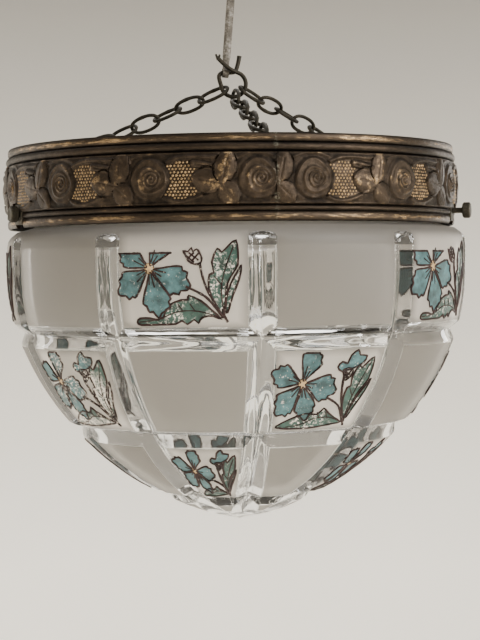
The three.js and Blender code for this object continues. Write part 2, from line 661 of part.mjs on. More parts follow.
// Joins a list of rings into one closed skin: the first ring follows the last one, and two
// poles close the outer and the inner side at the bottom.
function closeRings(rings, outerCount, outerPole, innerPole) {
  const count = rings[0].length;
  const positions = rings.flat(2);
  const outerIndex = rings.length * count;
  positions.push(...outerPole, ...innerPole);
  const triangles = [];
  const strip = (upper, lower) => {
    for (let i = 0; i < count; i += 1) {
      const next = (i + 1) % count;
      const [a, b] = [upper * count + i, upper * count + next];
      const [c, d] = [lower * count + i, lower * count + next];
      triangles.push(a, c, b, b, c, d);
    }
  };
  for (let ring = 0; ring < rings.length - 1; ring += 1) {
    if (ring !== outerCount - 1) {
      strip(ring, ring + 1);
    }
  }
  strip(rings.length - 1, 0);
  for (let i = 0; i < count; i += 1) {
    const next = (i + 1) % count;
    const last = (outerCount - 1) * count;
    const first = outerCount * count;
    triangles.push(last + i, outerIndex, last + next);
    triangles.push(first + next, outerIndex + 1, first + i);
  }
  const geometry = new THREE.BufferGeometry();
  geometry.setAttribute('position', new THREE.Float32BufferAttribute(positions, 3));
  geometry.setIndex(triangles);
  geometry.computeVertexNormals();
  return geometry;
}

const bowl = addMesh(pendant, 'glass_bowl', bowlGeometry(), glass());
bowl.position.x = BOWL_SHIFT;
bowl.rotation.z = degrees(BOWL_TURN);

export default lamp;
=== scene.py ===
import itertools
import math
from functools import cache

import bmesh
import bpy
import numpy as np
from bpy.props import FloatProperty, FloatVectorProperty, IntProperty, PointerProperty
from mathutils import Matrix, Vector
from mathutils.geometry import delaunay_2d_cdt


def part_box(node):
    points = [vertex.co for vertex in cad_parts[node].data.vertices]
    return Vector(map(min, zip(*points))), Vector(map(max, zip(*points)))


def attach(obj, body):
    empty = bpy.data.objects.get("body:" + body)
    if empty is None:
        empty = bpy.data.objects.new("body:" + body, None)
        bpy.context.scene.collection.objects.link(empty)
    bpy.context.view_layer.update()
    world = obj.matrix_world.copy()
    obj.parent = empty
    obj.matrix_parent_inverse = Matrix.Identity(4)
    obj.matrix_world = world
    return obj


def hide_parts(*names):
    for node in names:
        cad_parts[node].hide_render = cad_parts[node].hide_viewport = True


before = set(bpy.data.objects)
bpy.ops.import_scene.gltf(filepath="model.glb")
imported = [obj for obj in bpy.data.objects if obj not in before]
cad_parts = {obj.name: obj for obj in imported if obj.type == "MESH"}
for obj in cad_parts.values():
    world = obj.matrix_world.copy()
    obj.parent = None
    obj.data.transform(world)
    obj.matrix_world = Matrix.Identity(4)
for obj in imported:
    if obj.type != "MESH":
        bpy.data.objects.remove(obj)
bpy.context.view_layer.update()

bl_info = {
    "name": "Glass Bowl Pendant",
    "version": (1, 0, 0),
    "blender": (4, 5, 0),
    "location": "View3D > Sidebar > Pendant",
    "description": "Finishes a pressed glass bowl pendant around its packed frame",
    "category": "Object",
}

MM = 0.001
SEED = 7

# Places taken from the frame
BAND_LOW, BAND_HIGH = (Vector(corner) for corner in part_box("gallery_band"))
BAND_X = (BAND_LOW.x + BAND_HIGH.x) / 2
BAND_FOOT = BAND_LOW.z
BAND_HEIGHT = BAND_HIGH.z - BAND_LOW.z

# Gallery: heights above the band's foot and radii from its axis
BAND_RADIUS = 147 * MM
BAND_BORE = 143.6 * MM
GROOVE_BORE = 145.4 * MM
LOWER_BEAD_TOP = 6 * MM
FRIEZE_FOOT = 9.4 * MM
GROOVE_FOOT = FRIEZE_FOOT + 2 * MM
GROOVE_TOP = 36.5 * MM
FRIEZE_TOP = 40.4 * MM
RIM_BEAD_FOOT = 45.6 * MM
FRIEZE_RADIUS = 145 * MM
FRIEZE_ROUNDING = 1.2 * MM
FRIEZE_SWELL = 1.2 * MM
NOTCH_TOP = 15.4 * MM
NOTCH_HALF = 6.8 * MM
BRACKET_ANGLES = (63.5, 174.5, 285)
BAND_COLUMNS = 860

# Plain mouldings of the band: foot, top, then radius and swell in millimetres
MOULDINGS = (
    (0, LOWER_BEAD_TOP, 144.8, 1.4),
    (LOWER_BEAD_TOP, FRIEZE_FOOT, 145.0, 1.5),
    (FRIEZE_TOP, RIM_BEAD_FOOT, 144.7, 2.0),
    (RIM_BEAD_FOOT, BAND_HEIGHT + 0.4 * MM, 144.2, 1.3),
)

# Roses: azimuths in degrees, height above the frieze's foot, radius in millimetres
ROSE_COUNT = 15
ROSE_FIRST = 8.8
ROSE_STEP = 24.8
ROSE_LEAD = 0.19
ROSE_HEIGHT = 15.4 * MM
ROSE_RADIUS = 12.2

# Beads of the frieze's fields, in millimetres
BEAD_SPACING = 2.12
BEAD_ROW = 0.87
BEAD_JITTER = 0.18
BEAD_UNEVENNESS = 0.25

# Glass bowl
BOWL_RADIUS = 150 * MM
BOWL_DEPTH = 192 * MM
BOWL_SHIFT = 3.2 * MM
BOWL_TURN = -4.7
BOWL_COLUMNS = 10
COLUMN_PITCH = 2 * math.pi / BOWL_COLUMNS
CUT_STEPS = 12
PANEL_STEPS = 12
INNER_ROWS = 46
GLASS_WALL = 8 * MM
NECK_RADIUS = 131 * MM
NECK_BORE = NECK_RADIUS - GLASS_WALL * 0.75
NECK_START = 2.5 * MM
LIP_RADIUS = 136 * MM
LIP_UNDERSIDE = 10.9 * MM
LIP_HEIGHT = 6 * MM
CUT_DEPTH = 4.6 * MM
CUT_WIDTH = 17 * MM
CUT_TOP = 6 * MM
CUT_END = 4.2 * MM
CUT_ARCH = 5 * MM
PAINT_FADE = 6 * MM
FLAKE_SINK = 0.1 * MM
LINE_RISE = 0.1 * MM
CROSS_CUT_WIDTH = 15 * MM
CROSS_CUT_DEPTHS = (68 * MM, 130 * MM, 174.5 * MM)
BOWL_OUTLINE = (
    (0.957, 0.01), (0.989, 0.032), (1, 0.065), (0.999, 0.16), (0.989, 0.255), (0.964, 0.345),
    (0.936, 0.405), (0.874, 0.505), (0.799, 0.597), (0.713, 0.678), (0.613, 0.758), (0.487, 0.836),
    (0.38, 0.886), (0.3, 0.923), (0.191, 0.962), (0.095, 0.985), (0, 1),
)

# Camera, fitted to the photograph's 480 by 640 frame
PHOTO_FOCAL = 1663
PHOTO_HEIGHT = 640
CAMERA_DISTANCE = 1.1
CAMERA_AZIMUTH = -10.4
CAMERA_BELOW_BAND = 31 * MM
CAMERA_PITCH = -1.54
CAMERA_YAW = 0.14
CAMERA_ROLL = 0.7
SENSOR_WIDTH = 36

BODY = "pendant"


class PendantSizes(bpy.types.PropertyGroup):
    """Sizes that the finish adds to the frame"""
    relief: FloatProperty(
        name="Relief", description="How far the roses and leaves stand out of the frieze",
        default=2.0 * MM, min=0, max=4 * MM, unit="LENGTH", precision=4)
    bead: FloatProperty(
        name="Bead radius", description="Radius of the beads in the frieze's fields",
        default=1.04 * MM, min=0.3 * MM, max=2 * MM, unit="LENGTH", precision=5)
    link_wire: FloatProperty(
        name="Link wire", description="Radius of the chain links' wire",
        default=1.2 * MM, min=0.5 * MM, max=3 * MM, unit="LENGTH", precision=5)
    ring_wire: FloatProperty(
        name="Ring wire", description="Radius of the gathering ring's wire",
        default=1.4 * MM, min=0.5 * MM, max=3 * MM, unit="LENGTH", precision=5)
    line: FloatProperty(
        name="Line radius", description="Radius of the raised dark lines round the painted leaves",
        default=0.70 * MM, min=0.1 * MM, max=2 * MM, unit="LENGTH", precision=5)
    knurls: IntProperty(
        name="Knurls", description="Ridges round a thumb screw's head", default=36, min=8, max=90)


class PendantColours(bpy.types.PropertyGroup):
    """Colours of the finishes"""
    brass_dark: FloatVectorProperty(
        name="Patina", description="Dark patina in the gallery's hollows", subtype="COLOR", size=3,
        default=(0.009, 0.0065, 0.0045), min=0, max=1)
    brass_mid: FloatVectorProperty(
        name="Bronze", description="Brown of the gallery's plain ground", subtype="COLOR", size=3,
        default=(0.031, 0.022, 0.0148), min=0, max=1)
    # Rubbed gold, which also paints the glints on the gallery's relief tops and bead crests.
    brass_worn_and_glint: FloatVectorProperty(
        name="Worn gold", description="Rubbed high places of the gallery", subtype="COLOR", size=3,
        default=(0.40, 0.27, 0.14), min=0, max=1)
    iron: FloatVectorProperty(
        name="Iron", description="Chains, ring, brackets and screws", subtype="COLOR", size=3,
        default=(0.026, 0.024, 0.018), min=0, max=1)
    frosted: FloatVectorProperty(
        name="Frosted glass", description="Matt panels", subtype="COLOR", size=3,
        default=(0.275, 0.252, 0.222), min=0, max=1)
    painted: FloatVectorProperty(
        name="Painted ground", description="Ground of the painted panels", subtype="COLOR", size=3,
        default=(0.83, 0.765, 0.69), min=0, max=1)
    petal: FloatVectorProperty(
        name="Petals", description="Blue-green enamel of the petals", subtype="COLOR", size=3,
        default=(0.039, 0.102, 0.111), min=0, max=1)
    leaf: FloatVectorProperty(
        name="Leaves", description="Green enamel of the leaves", subtype="COLOR", size=3,
        default=(0.017, 0.052, 0.040), min=0, max=1)
    line: FloatVectorProperty(
        name="Lines", description="Maroon enamel of outlines and stems", subtype="COLOR", size=3,
        default=(0.020, 0.009, 0.008), min=0, max=1)


# Mesh helpers

def polar(azimuth, radius, height, axis_x=BAND_X):
    """A place by azimuth in radians (0 is the front), radius and height above the band's foot."""
    return (axis_x + radius * math.sin(azimuth), -radius * math.cos(azimuth), BAND_FOOT + height)


def link_object(name, data):
    """A new object in the scene."""
    piece = bpy.data.objects.new(name, data)
    bpy.context.scene.collection.objects.link(piece)
    return piece


def mesh_piece(name, vertices, faces, materials, sharp=None, face_materials=None):
    """A new object from plain lists, with smooth faces and sharp edges past an angle in degrees."""
    mesh = bpy.data.meshes.new(name)
    mesh.from_pydata([tuple(v) for v in vertices], [], [tuple(f) for f in faces])
    for material in materials:
        mesh.materials.append(material)
    if face_materials is not None:
        mesh.polygons.foreach_set("material_index", np.asarray(face_materials, dtype=np.int32))
    mesh.shade_smooth()
    if sharp is not None:
        mesh.set_sharp_from_angle(angle=math.radians(sharp))
    mesh.update()
    return link_object(name, mesh)


def ring_faces(rings, sides):
    """Faces between rings of vertices that follow one another."""
    return [(first + k, first + (k + 1) % sides, first + sides + (k + 1) % sides, first + sides + k)
            for first in range(0, (rings - 1) * sides, sides) for k in range(sides)]


def add_attribute(piece, name, values):
    """A number for each vertex, which materials read by its name."""
    attribute = piece.data.attributes.new(name, "FLOAT", "POINT")
    attribute.data.foreach_set("value", np.asarray(values, dtype=np.float32))


def path_piece(name, paths):
    """An object of edges only; each path is (points, closed, thickness per point)."""
    points, edges, thickness = [], [], []
    for path, closed, thick in paths:
        first = len(points)
        points += [tuple(p) for p in path]
        thickness += list(thick)
        edges += [(first + i, first + i + 1) for i in range(len(path) - 1)]
        if closed:
            edges.append((len(points) - 1, first))
    mesh = bpy.data.meshes.new(name)
    mesh.from_pydata(points, edges, [])
    piece = link_object(name, mesh)
    add_attribute(piece, "thickness", thickness)
    return piece


def point_piece(name, points, facing):
    """Loose points, each with the way it faces."""
    mesh = bpy.data.meshes.new(name)
    mesh.from_pydata(points, [], [])
    attribute = mesh.attributes.new("outward", "FLOAT_VECTOR", "POINT")
    attribute.data.foreach_set("vector", np.asarray(facing, dtype=np.float32).ravel())
    return link_object(name, mesh)


def evaluated_mesh(piece):
    """The mesh that a piece's modifiers make."""
    graph = bpy.context.evaluated_depsgraph_get()
    graph.update()
    return bpy.data.meshes.new_from_object(piece.evaluated_get(graph), depsgraph=graph)


def settle(piece, tree, values):
    """Runs a node tree on a piece and keeps the result as its plain mesh."""
    modifier = piece.modifiers.new(tree.name, "NODES")
    modifier.node_group = tree
    sockets = {item.name: item.identifier for item in tree.interface.items_tree
               if item.item_type == "SOCKET" and item.in_out == "INPUT"}
    for label, value in values.items():
        modifier[sockets[label]] = value
    result = evaluated_mesh(piece)
    if not result.polygons:
        raise RuntimeError(f"{piece.name}: the node tree {tree.name} made no faces")
    piece.modifiers.remove(modifier)
    result.name = piece.name
    piece.data = result
    return piece


def softened(node, width, material, name):
    """A copy of a CAD node with its doubles merged, flat faces joined and edges rounded."""
    work = bmesh.new()
    work.from_mesh(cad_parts[node].data)
    bmesh.ops.remove_doubles(work, verts=work.verts, dist=1e-6)
    bmesh.ops.dissolve_limit(work, angle_limit=math.radians(1), verts=work.verts, edges=work.edges)
    mesh = bpy.data.meshes.new(name)
    work.to_mesh(mesh)
    work.free()
    mesh.materials.clear()
    mesh.materials.append(material)
    piece = link_object(name, mesh)
    bevel = piece.modifiers.new("Rounded edges", "BEVEL")
    bevel.width = width
    bevel.segments = 2
    bevel.limit_method = "ANGLE"
    bevel.angle_limit = math.radians(35)
    bevel.use_clamp_overlap = True
    piece.data = evaluated_mesh(piece)
    piece.modifiers.clear()
    piece.data.shade_smooth()
    piece.data.set_sharp_from_angle(angle=math.radians(40))
    return piece


def outward(piece):
    """Turns a closed piece's faces outwards."""
    work = bmesh.new()
    work.from_mesh(piece.data)
    bmesh.ops.recalc_face_normals(work, faces=work.faces)
    work.to_mesh(piece.data)
    work.free()


# Node tree helpers

def new_tree(name, kind, inputs, outputs):
    """A node group with its sockets, and its input and output nodes."""
    tree = bpy.data.node_groups.new(name, kind)
    for label, socket_type, default in inputs:
        socket = tree.interface.new_socket(label, in_out="INPUT", socket_type=socket_type)
        if default is not None:
            socket.default_value = default
    for label, socket_type in outputs:
        tree.interface.new_socket(label, in_out="OUTPUT", socket_type=socket_type)
    return tree, tree.nodes.new("NodeGroupInput"), tree.nodes.new("NodeGroupOutput")


def plug(tree, socket, value):
    """Gives an input socket its value, or links it to the socket that feeds it."""
    if isinstance(value, bpy.types.NodeSocket):
        tree.links.new(value, socket)
    else:
        socket.default_value = value


def add_node(tree, kind, settings=None, **inputs):
    """A node with its settings; inputs are named, or numbered as i0, i1 and so on."""
    node = tree.nodes.new(kind)
    for key, value in (settings or {}).items():
        setattr(node, key, value)
    for key, value in inputs.items():
        label = int(key[1:]) if key[1:].isdigit() else key.replace("_", " ")
        plug(tree, node.inputs[label], value)
    return node


def math_node(tree, operation, *values):
    """The result of a math node on numbers or sockets."""
    return add_node(tree, "ShaderNodeMath", {"operation": operation},
                    **{f"i{i}": value for i, value in enumerate(values)}).outputs[0]


def product(tree, first, second):
    """Two values multiplied."""
    return math_node(tree, "MULTIPLY", first, second)


def total(tree, first, *others):
    """Values added up."""
    for other in others:
        first = math_node(tree, "ADD", first, other)
    return first


def end_tree(tree, start, end, geometry):
    """Ends a geometry tree with real geometry in the finish that its Material input names."""
    real = add_node(tree, "GeometryNodeRealizeInstances", Geometry=geometry.outputs[0])
    paint = add_node(tree, "GeometryNodeSetMaterial", Geometry=real.outputs[0],
                     Material=start.outputs["Material"])
    tree.links.new(paint.outputs[0], end.inputs[0])
    return tree


def on_points(tree, start, instance, **more):
    """Sets a shape on every point, turned to the way that the point faces."""
    facing = add_node(tree, "GeometryNodeInputNamedAttribute", {"data_type": "FLOAT_VECTOR"},
                      Name="outward")
    turn = add_node(tree, "FunctionNodeAlignRotationToVector", Vector=facing.outputs["Attribute"])
    return add_node(tree, "GeometryNodeInstanceOnPoints", Points=start.outputs["Points"],
                    Instance=instance.outputs[0], Rotation=turn.outputs[0], **more)


@cache
def wire_tree():
    """Sweeps a round wire along every path of the piece, as thick as the path says."""
    tree, start, end = new_tree("Wire Along Path", "GeometryNodeTree", [
        ("Paths", "NodeSocketGeometry", None),
        ("Wire Radius", "NodeSocketFloat", 1 * MM),
        ("Sides", "NodeSocketInt", 10),
        ("Material", "NodeSocketMaterial", None),
    ], [("Wire", "NodeSocketGeometry")])
    thick = add_node(tree, "GeometryNodeInputNamedAttribute", {"data_type": "FLOAT"},
                     Name="thickness")
    curve = add_node(tree, "GeometryNodeMeshToCurve", Mesh=start.outputs["Paths"])
    sized = add_node(tree, "GeometryNodeSetCurveRadius", Curve=curve.outputs[0],
                     Radius=thick.outputs["Attribute"])
    section = add_node(tree, "GeometryNodeCurvePrimitiveCircle", Resolution=start.outputs["Sides"],
                       Radius=start.outputs["Wire Radius"])
    swept = add_node(tree, "GeometryNodeCurveToMesh", Curve=sized.outputs[0],
                     Profile_Curve=section.outputs[0], Fill_Caps=True)
    if "Scale" in swept.inputs:
        plug(tree, swept.inputs["Scale"], add_node(tree, "GeometryNodeInputRadius").outputs[0])
    smooth = add_node(tree, "GeometryNodeSetShadeSmooth", Geometry=swept.outputs[0])
    return end_tree(tree, start, end, smooth)


@cache
def bead_tree():
    """Sets a small round bead of uneven size on every point of the piece."""
    tree, start, end = new_tree("Beads On Points", "GeometryNodeTree", [
        ("Points", "NodeSocketGeometry", None),
        ("Bead Radius", "NodeSocketFloat", 1 * MM),
        ("Unevenness", "NodeSocketFloat", 0.2),
        ("Seed", "NodeSocketInt", SEED),
        ("Material", "NodeSocketMaterial", None),
    ], [("Beads", "NodeSocketGeometry")])
    sphere = add_node(tree, "GeometryNodeMeshIcoSphere", Radius=start.outputs["Bead Radius"],
                      Subdivisions=2)
    bead = add_node(tree, "GeometryNodeSetShadeSmooth", Geometry=sphere.outputs[0])
    size = add_node(tree, "FunctionNodeRandomValue", {"data_type": "FLOAT"},
                    Seed=start.outputs["Seed"])
    least, most = [socket for socket in size.inputs if socket.type == "VALUE"][:2]
    plug(tree, least, math_node(tree, "SUBTRACT", 1.0, start.outputs["Unevenness"]))
    plug(tree, most, 1.0)
    scale = next(socket for socket in size.outputs if socket.type == "VALUE")
    return end_tree(tree, start, end, on_points(tree, start, bead, Scale=scale))


@cache
def knurl_tree():
    """Sets a ridge on every point round a screw's head and turns it along the head's axis."""
    tree, start, end = new_tree("Knurls Round Head", "GeometryNodeTree", [
        ("Points", "NodeSocketGeometry", None),
        ("Ridge Radius", "NodeSocketFloat", 0.35 * MM),
        ("Ridge Length", "NodeSocketFloat", 4 * MM),
        ("Material", "NodeSocketMaterial", None),
    ], [("Ridges", "NodeSocketGeometry")])
    ridge = add_node(tree, "GeometryNodeMeshCylinder", Vertices=6,
                     Radius=start.outputs["Ridge Radius"], Depth=start.outputs["Ridge Length"])
    return end_tree(tree, start, end, on_points(tree, start, ridge))


# Shared shader groups

def object_place(tree):
    """The place in the object's own coordinates."""
    return add_node(tree, "ShaderNodeTexCoord").outputs["Object"]


def noise(tree, place, scale, detail, roughness=0.5):
    """A noise texture's value."""
    return add_node(tree, "ShaderNodeTexNoise", Vector=place, Scale=scale, Detail=detail,
                    Roughness=roughness).outputs[0]


@cache
def grain_group():
    """Fine and coarse unevenness of a worked surface: a height and a mottle from 0 to 1."""
    tree, start, end = new_tree("Surface Grain", "ShaderNodeTree", [
        ("Fine Scale", "NodeSocketFloat", 900.0),
        ("Coarse Scale", "NodeSocketFloat", 60.0),
    ], [("Height", "NodeSocketFloat"), ("Mottle", "NodeSocketFloat")])
    place = object_place(tree)
    fine = noise(tree, place, start.outputs["Fine Scale"], 4.0, 0.6)
    coarse = noise(tree, place, start.outputs["Coarse Scale"], 6.0, 0.65)
    both = total(tree, product(tree, fine, 0.45), product(tree, coarse, 0.55))
    tree.links.new(both, end.inputs["Height"])
    tree.links.new(ranged(tree, coarse, 0.35, 0.65), end.inputs["Mottle"])
    return tree


@cache
def speckle_group():
    """Small chips and specks, from 0 where the finish is whole to 1 where it is gone."""
    tree, start, end = new_tree("Speckled Wear", "ShaderNodeTree", [
        ("Scale", "NodeSocketFloat", 400.0),
        ("Amount", "NodeSocketFloat", 0.4),
    ], [("Wear", "NodeSocketFloat")])
    specks = noise(tree, object_place(tree), start.outputs["Scale"], 5.0, 0.75)
    level = math_node(tree, "SUBTRACT", 0.72, product(tree, start.outputs["Amount"], 0.3))
    wear = ranged(tree, specks, level, total(tree, level, 0.04))
    tree.links.new(wear, end.inputs["Wear"])
    return tree


def place_group(tree, group, **inputs):
    """A shared shader group placed in a material."""
    node = tree.nodes.new("ShaderNodeGroup")
    node.node_tree = group
    for label, value in inputs.items():
        node.inputs[label.replace("_", " ")].default_value = value
    return node


# Materials

def new_material(name, metallic=0.0, roughness=0.5, **sockets):
    """A material with its Principled BSDF ready."""
    material = bpy.data.materials.new(name)
    material.use_nodes = True
    shader = material.node_tree.nodes["Principled BSDF"]
    shader.inputs["Metallic"].default_value = metallic
    shader.inputs["Roughness"].default_value = roughness
    for label, value in sockets.items():
        shader.inputs[label.replace("_", " ")].default_value = value
    return material, material.node_tree, shader


def scaled(colour, factor):
    """A colour made lighter or darker."""
    return tuple(channel * factor for channel in colour)


def vertex_value(tree, name):
    """A vertex attribute's value."""
    return add_node(tree, "ShaderNodeAttribute", {"attribute_name": name}).outputs["Fac"]


def ramp(tree, factor, stops):
    """A colour ramp's colour; stops are (position, colour)."""
    node = add_node(tree, "ShaderNodeValToRGB", Fac=factor)
    elements = node.color_ramp.elements
    while len(elements) < len(stops):
        elements.new(0.5)
    for element, (position, colour) in zip(elements, stops):
        element.position = position
        element.color = (*colour, 1)
    return node.outputs["Color"]


def feed(tree, shader, colour, roughness=None):
    """Gives the shader a colour, and a roughness where it changes over the surface."""
    tree.links.new(colour, shader.inputs["Base Color"])
    if roughness is not None:
        tree.links.new(roughness, shader.inputs["Roughness"])


def bump(tree, shader, height, distance, strength=1.0):
    """Feeds a height to the shader's normal."""
    node = add_node(tree, "ShaderNodeBump", Height=height, Distance=distance, Strength=strength)
    tree.links.new(node.outputs[0], shader.inputs["Normal"])


def mixed(tree, factor, first, second, blend="MIX"):
    """A colour between two colours."""
    node = add_node(tree, "ShaderNodeMix", {"data_type": "RGBA", "blend_type": blend})
    for number, value in ((0, factor), (6, first), (7, second)):
        plug(tree, node.inputs[number], (*value, 1) if isinstance(value, tuple) else value)
    return node.outputs[2]


def ranged(tree, value, low, high, to_low=0.0, to_high=1.0):
    """A value moved from one range to another, and kept inside it."""
    return add_node(tree, "ShaderNodeMapRange", Value=value, From_Min=low, From_Max=high,
                    To_Min=to_low, To_Max=to_high).outputs[0]


def gallery_material(colours):
    """Dark bronze patina, rubbed golden with painted glints where the relief stands out, green at
    the soldered seam.
    """
    material, tree, shader = new_material("gallery_patina", metallic=0.85)
    grain = place_group(tree, grain_group(), Fine_Scale=1500.0, Coarse_Scale=240.0)
    patches = place_group(tree, grain_group(), Fine_Scale=220.0, Coarse_Scale=20.0)
    height = add_node(tree, "ShaderNodeSeparateXYZ", Vector=object_place(tree)).outputs["Z"]
    around = product(tree, vertex_value(tree, "around"), 0.14)
    drawn = add_node(tree, "ShaderNodeCombineXYZ", X=around, Y=height)
    scratches = noise(tree, drawn.outputs[0], 900.0, 6.0, 0.7)
    moulding = vertex_value(tree, "moulding")
    frieze = math_node(tree, "SUBTRACT", 1.0, moulding)
    blotches = ranged(tree, patches.outputs["Mottle"], 0, 1, -0.11, 0.1)
    scored = product(tree, moulding, ranged(tree, scratches, 0.3, 0.7, -0.2, 0.2))
    pitted = product(tree, frieze, ranged(tree, grain.outputs["Mottle"], 0, 1, -0.17, 0.17))
    # The relief mark holds rubbed wear and painted sheen on relief tops and bead crests.
    worn = total(tree, vertex_value(tree, "relief"), blotches, scored, pitted)
    base = ramp(tree, worn, [
        (0.16, colours.brass_dark), (0.46, colours.brass_mid),
        (0.74, scaled(colours.brass_mid, 1.9)), (0.95, colours.brass_worn_and_glint)])
    pores = ranged(tree, grain.outputs["Height"], 0.48, 0.6)
    solder = product(tree, vertex_value(tree, "seam"), pores)
    feed(tree, shader, mixed(tree, solder, base, (0.13, 0.13, 0.10)),
         ranged(tree, worn, 0.3, 0.95, 0.50, 0.24))
    bump(tree, shader, grain.outputs["Height"], 0.5 * MM, 0.85)
    return material


def bead_material(colours):
    """Golden rubbed brass of the beads."""
    material, tree, shader = new_material("gallery_beads", metallic=0.9, roughness=0.3)
    grain = place_group(tree, grain_group(), Fine_Scale=1800.0, Coarse_Scale=260.0)
    worn = mixed(tree, grain.outputs["Mottle"], scaled(colours.brass_worn_and_glint, 0.4),
                 scaled(colours.brass_worn_and_glint, 1.15))
    feed(tree, shader, worn)
    bump(tree, shader, grain.outputs["Height"], 0.15 * MM, 0.5)
    return material


def iron_material(colours, name="dark_iron", brown=0.35, lift=1.0):
    """Old iron with an olive-grey patina, brown in places."""
    material, tree, shader = new_material(name, metallic=0.75, roughness=0.5)
    grain = place_group(tree, grain_group(), Fine_Scale=1300.0, Coarse_Scale=170.0)
    iron = scaled(colours.iron, lift)
    rust = (iron[0] * 1.9, iron[1] * 1.25, iron[2] * 0.9)
    tone = mixed(tree, product(tree, grain.outputs["Mottle"], brown), iron, rust)
    rub = ranged(tree, grain.outputs["Height"], 0.5, 0.66)
    feed(tree, shader, mixed(tree, rub, tone, scaled(iron, 2.6)),
         ranged(tree, grain.outputs["Mottle"], 0, 1, 0.42, 0.66))
    bump(tree, shader, grain.outputs["Height"], 0.3 * MM, 0.8)
    return material


def light_iron_material(colours):
    """The paler iron of the screws and their brackets."""
    return iron_material(colours, "screw_iron", brown=0.2, lift=1.6)


def strap_material():
    """Flat grey-brown steel, blotchy from dark to pale."""
    material, tree, shader = new_material("strap_steel", metallic=0.6, roughness=0.6)
    grain = place_group(tree, grain_group(), Fine_Scale=900.0, Coarse_Scale=210.0)
    tone = ramp(tree, grain.outputs["Height"], [
        (0.36, (0.05, 0.043, 0.034)), (0.5, (0.13, 0.115, 0.095)), (0.62, (0.30, 0.28, 0.25))])
    feed(tree, shader, tone)
    bump(tree, shader, grain.outputs["Height"], 0.3 * MM, 0.8)
    return material


def fibre_material():
    """Pressed brown fibre."""
    material, tree, shader = new_material("tip_fibre", roughness=0.85)
    grain = place_group(tree, grain_group(), Fine_Scale=2400.0, Coarse_Scale=500.0)
    tone = mixed(tree, grain.outputs["Mottle"], (0.12, 0.065, 0.035), (0.22, 0.14, 0.085))
    feed(tree, shader, tone)
    bump(tree, shader, grain.outputs["Height"], 0.2 * MM)
    return material


def clear_glass():
    """Pressed clear glass of the cuts, wavy and streaked along each cut."""
    material, tree, shader = new_material("clear_glass", roughness=0.04, IOR=1.52,
                                          Transmission_Weight=1.0)
    grain = place_group(tree, grain_group(), Fine_Scale=110.0, Coarse_Scale=40.0)
    tone = mixed(tree, grain.outputs["Mottle"], (0.98, 0.985, 0.97), (1.0, 1.0, 0.99))
    feed(tree, shader, tone)
    drawn = add_node(tree, "ShaderNodeCombineXYZ", X=vertex_value(tree, "across"),
                     Y=product(tree, vertex_value(tree, "along"), 0.2))
    streaks = noise(tree, drawn.outputs[0], 150.0, 1.0)
    waves = noise(tree, object_place(tree), 70.0, 1.0)
    bump(tree, shader, total(tree, waves, product(tree, streaks, 1.2)), 0.6 * MM, 0.4)
    return material


def frosted_glass(colours):
    """Matt glass, a little marked; the painted ground fades out at a panel's edges."""
    material, tree, shader = new_material("frosted_glass", roughness=0.48, IOR=1.5,
                                          Transmission_Weight=0.6)
    grain = place_group(tree, grain_group(), Fine_Scale=3600.0, Coarse_Scale=14.0)
    marks = place_group(tree, speckle_group(), Scale=700.0, Amount=0.05)
    colour = mixed(tree, vertex_value(tree, "painted"), tuple(colours.frosted),
                   tuple(colours.painted))
    clouds = ranged(tree, grain.outputs["Mottle"], 0, 1, 1, 0)
    dimmed = mixed(tree, clouds, colour, (0.93, 0.93, 0.93), "MULTIPLY")
    scuffs = product(tree, marks.outputs["Wear"], 0.4)
    tone = mixed(tree, scuffs, dimmed, scaled(colours.frosted, 0.5))
    feed(tree, shader, tone, ranged(tree, grain.outputs["Height"], 0.3, 0.7, 0.44, 0.62))
    bump(tree, shader, grain.outputs["Height"], 0.02 * MM, 0.3)
    return material


def enamel_material(name, colour, ground, amount, scale, shine):
    """Fired enamel, brushed unevenly and chipped in specks down to the pale ground."""
    material, tree, shader = new_material(name, roughness=0.42, Specular_IOR_Level=shine)
    brush = place_group(tree, grain_group(), Fine_Scale=700.0, Coarse_Scale=120.0)
    patches = place_group(tree, grain_group(), Fine_Scale=200.0, Coarse_Scale=36.0)
    chips = place_group(tree, speckle_group(), Scale=scale)
    tree.links.new(total(tree, vertex_value(tree, "worn"), amount), chips.inputs["Amount"])
    pale = tuple(channel * 2.0 + 0.014 for channel in colour)
    tone = mixed(tree, brush.outputs["Mottle"], scaled(colour, 0.5), pale)
    gone = product(tree, chips.outputs["Wear"], ranged(tree, patches.outputs["Mottle"], 0.2, 0.5))
    feed(tree, shader, mixed(tree, gone, tone, ground),
         ranged(tree, brush.outputs["Height"], 0.35, 0.65, 0.32, 0.6))
    bump(tree, shader, brush.outputs["Height"], 0.12 * MM, 0.6)
    return material


PLAIN_FINISHES = {"strap": strap_material, "fibre": fibre_material, "clear": clear_glass}
TINTED_FINISHES = {"gallery": gallery_material, "beads": bead_material, "iron": iron_material,
                   "iron_light": light_iron_material, "frosted": frosted_glass}
CENTRE_GOLD = (0.36, 0.24, 0.115)
# Enamels: share that is chipped, scale of the specks and shine
ENAMELS = {"petal": (0.12, 560.0, 0.5), "leaf": (0.4, 520.0, 0.5), "line": (0.1, 600.0, 0.15),
           "centre": (0.1, 600.0, 0.5)}


@cache
def finish(key):
    """The finish of that name, built once from the scene's colours."""
    colours = bpy.context.scene.pendant_colours
    if key in ENAMELS:
        colour = CENTRE_GOLD if key == "centre" else tuple(getattr(colours, key))
        return enamel_material(f"{key}_enamel", colour, tuple(colours.painted), *ENAMELS[key])
    if key in PLAIN_FINISHES:
        return PLAIN_FINISHES[key]()
    return TINTED_FINISHES[key](colours)


# Gallery band

def bulge(height, low, high):
    """1 in the middle of a bead and 0 at its edges, like half a circle."""
    t = np.clip((height - low) / (high - low), 0, 1) * 2 - 1
    return np.sqrt(np.maximum(0, 1 - t * t))


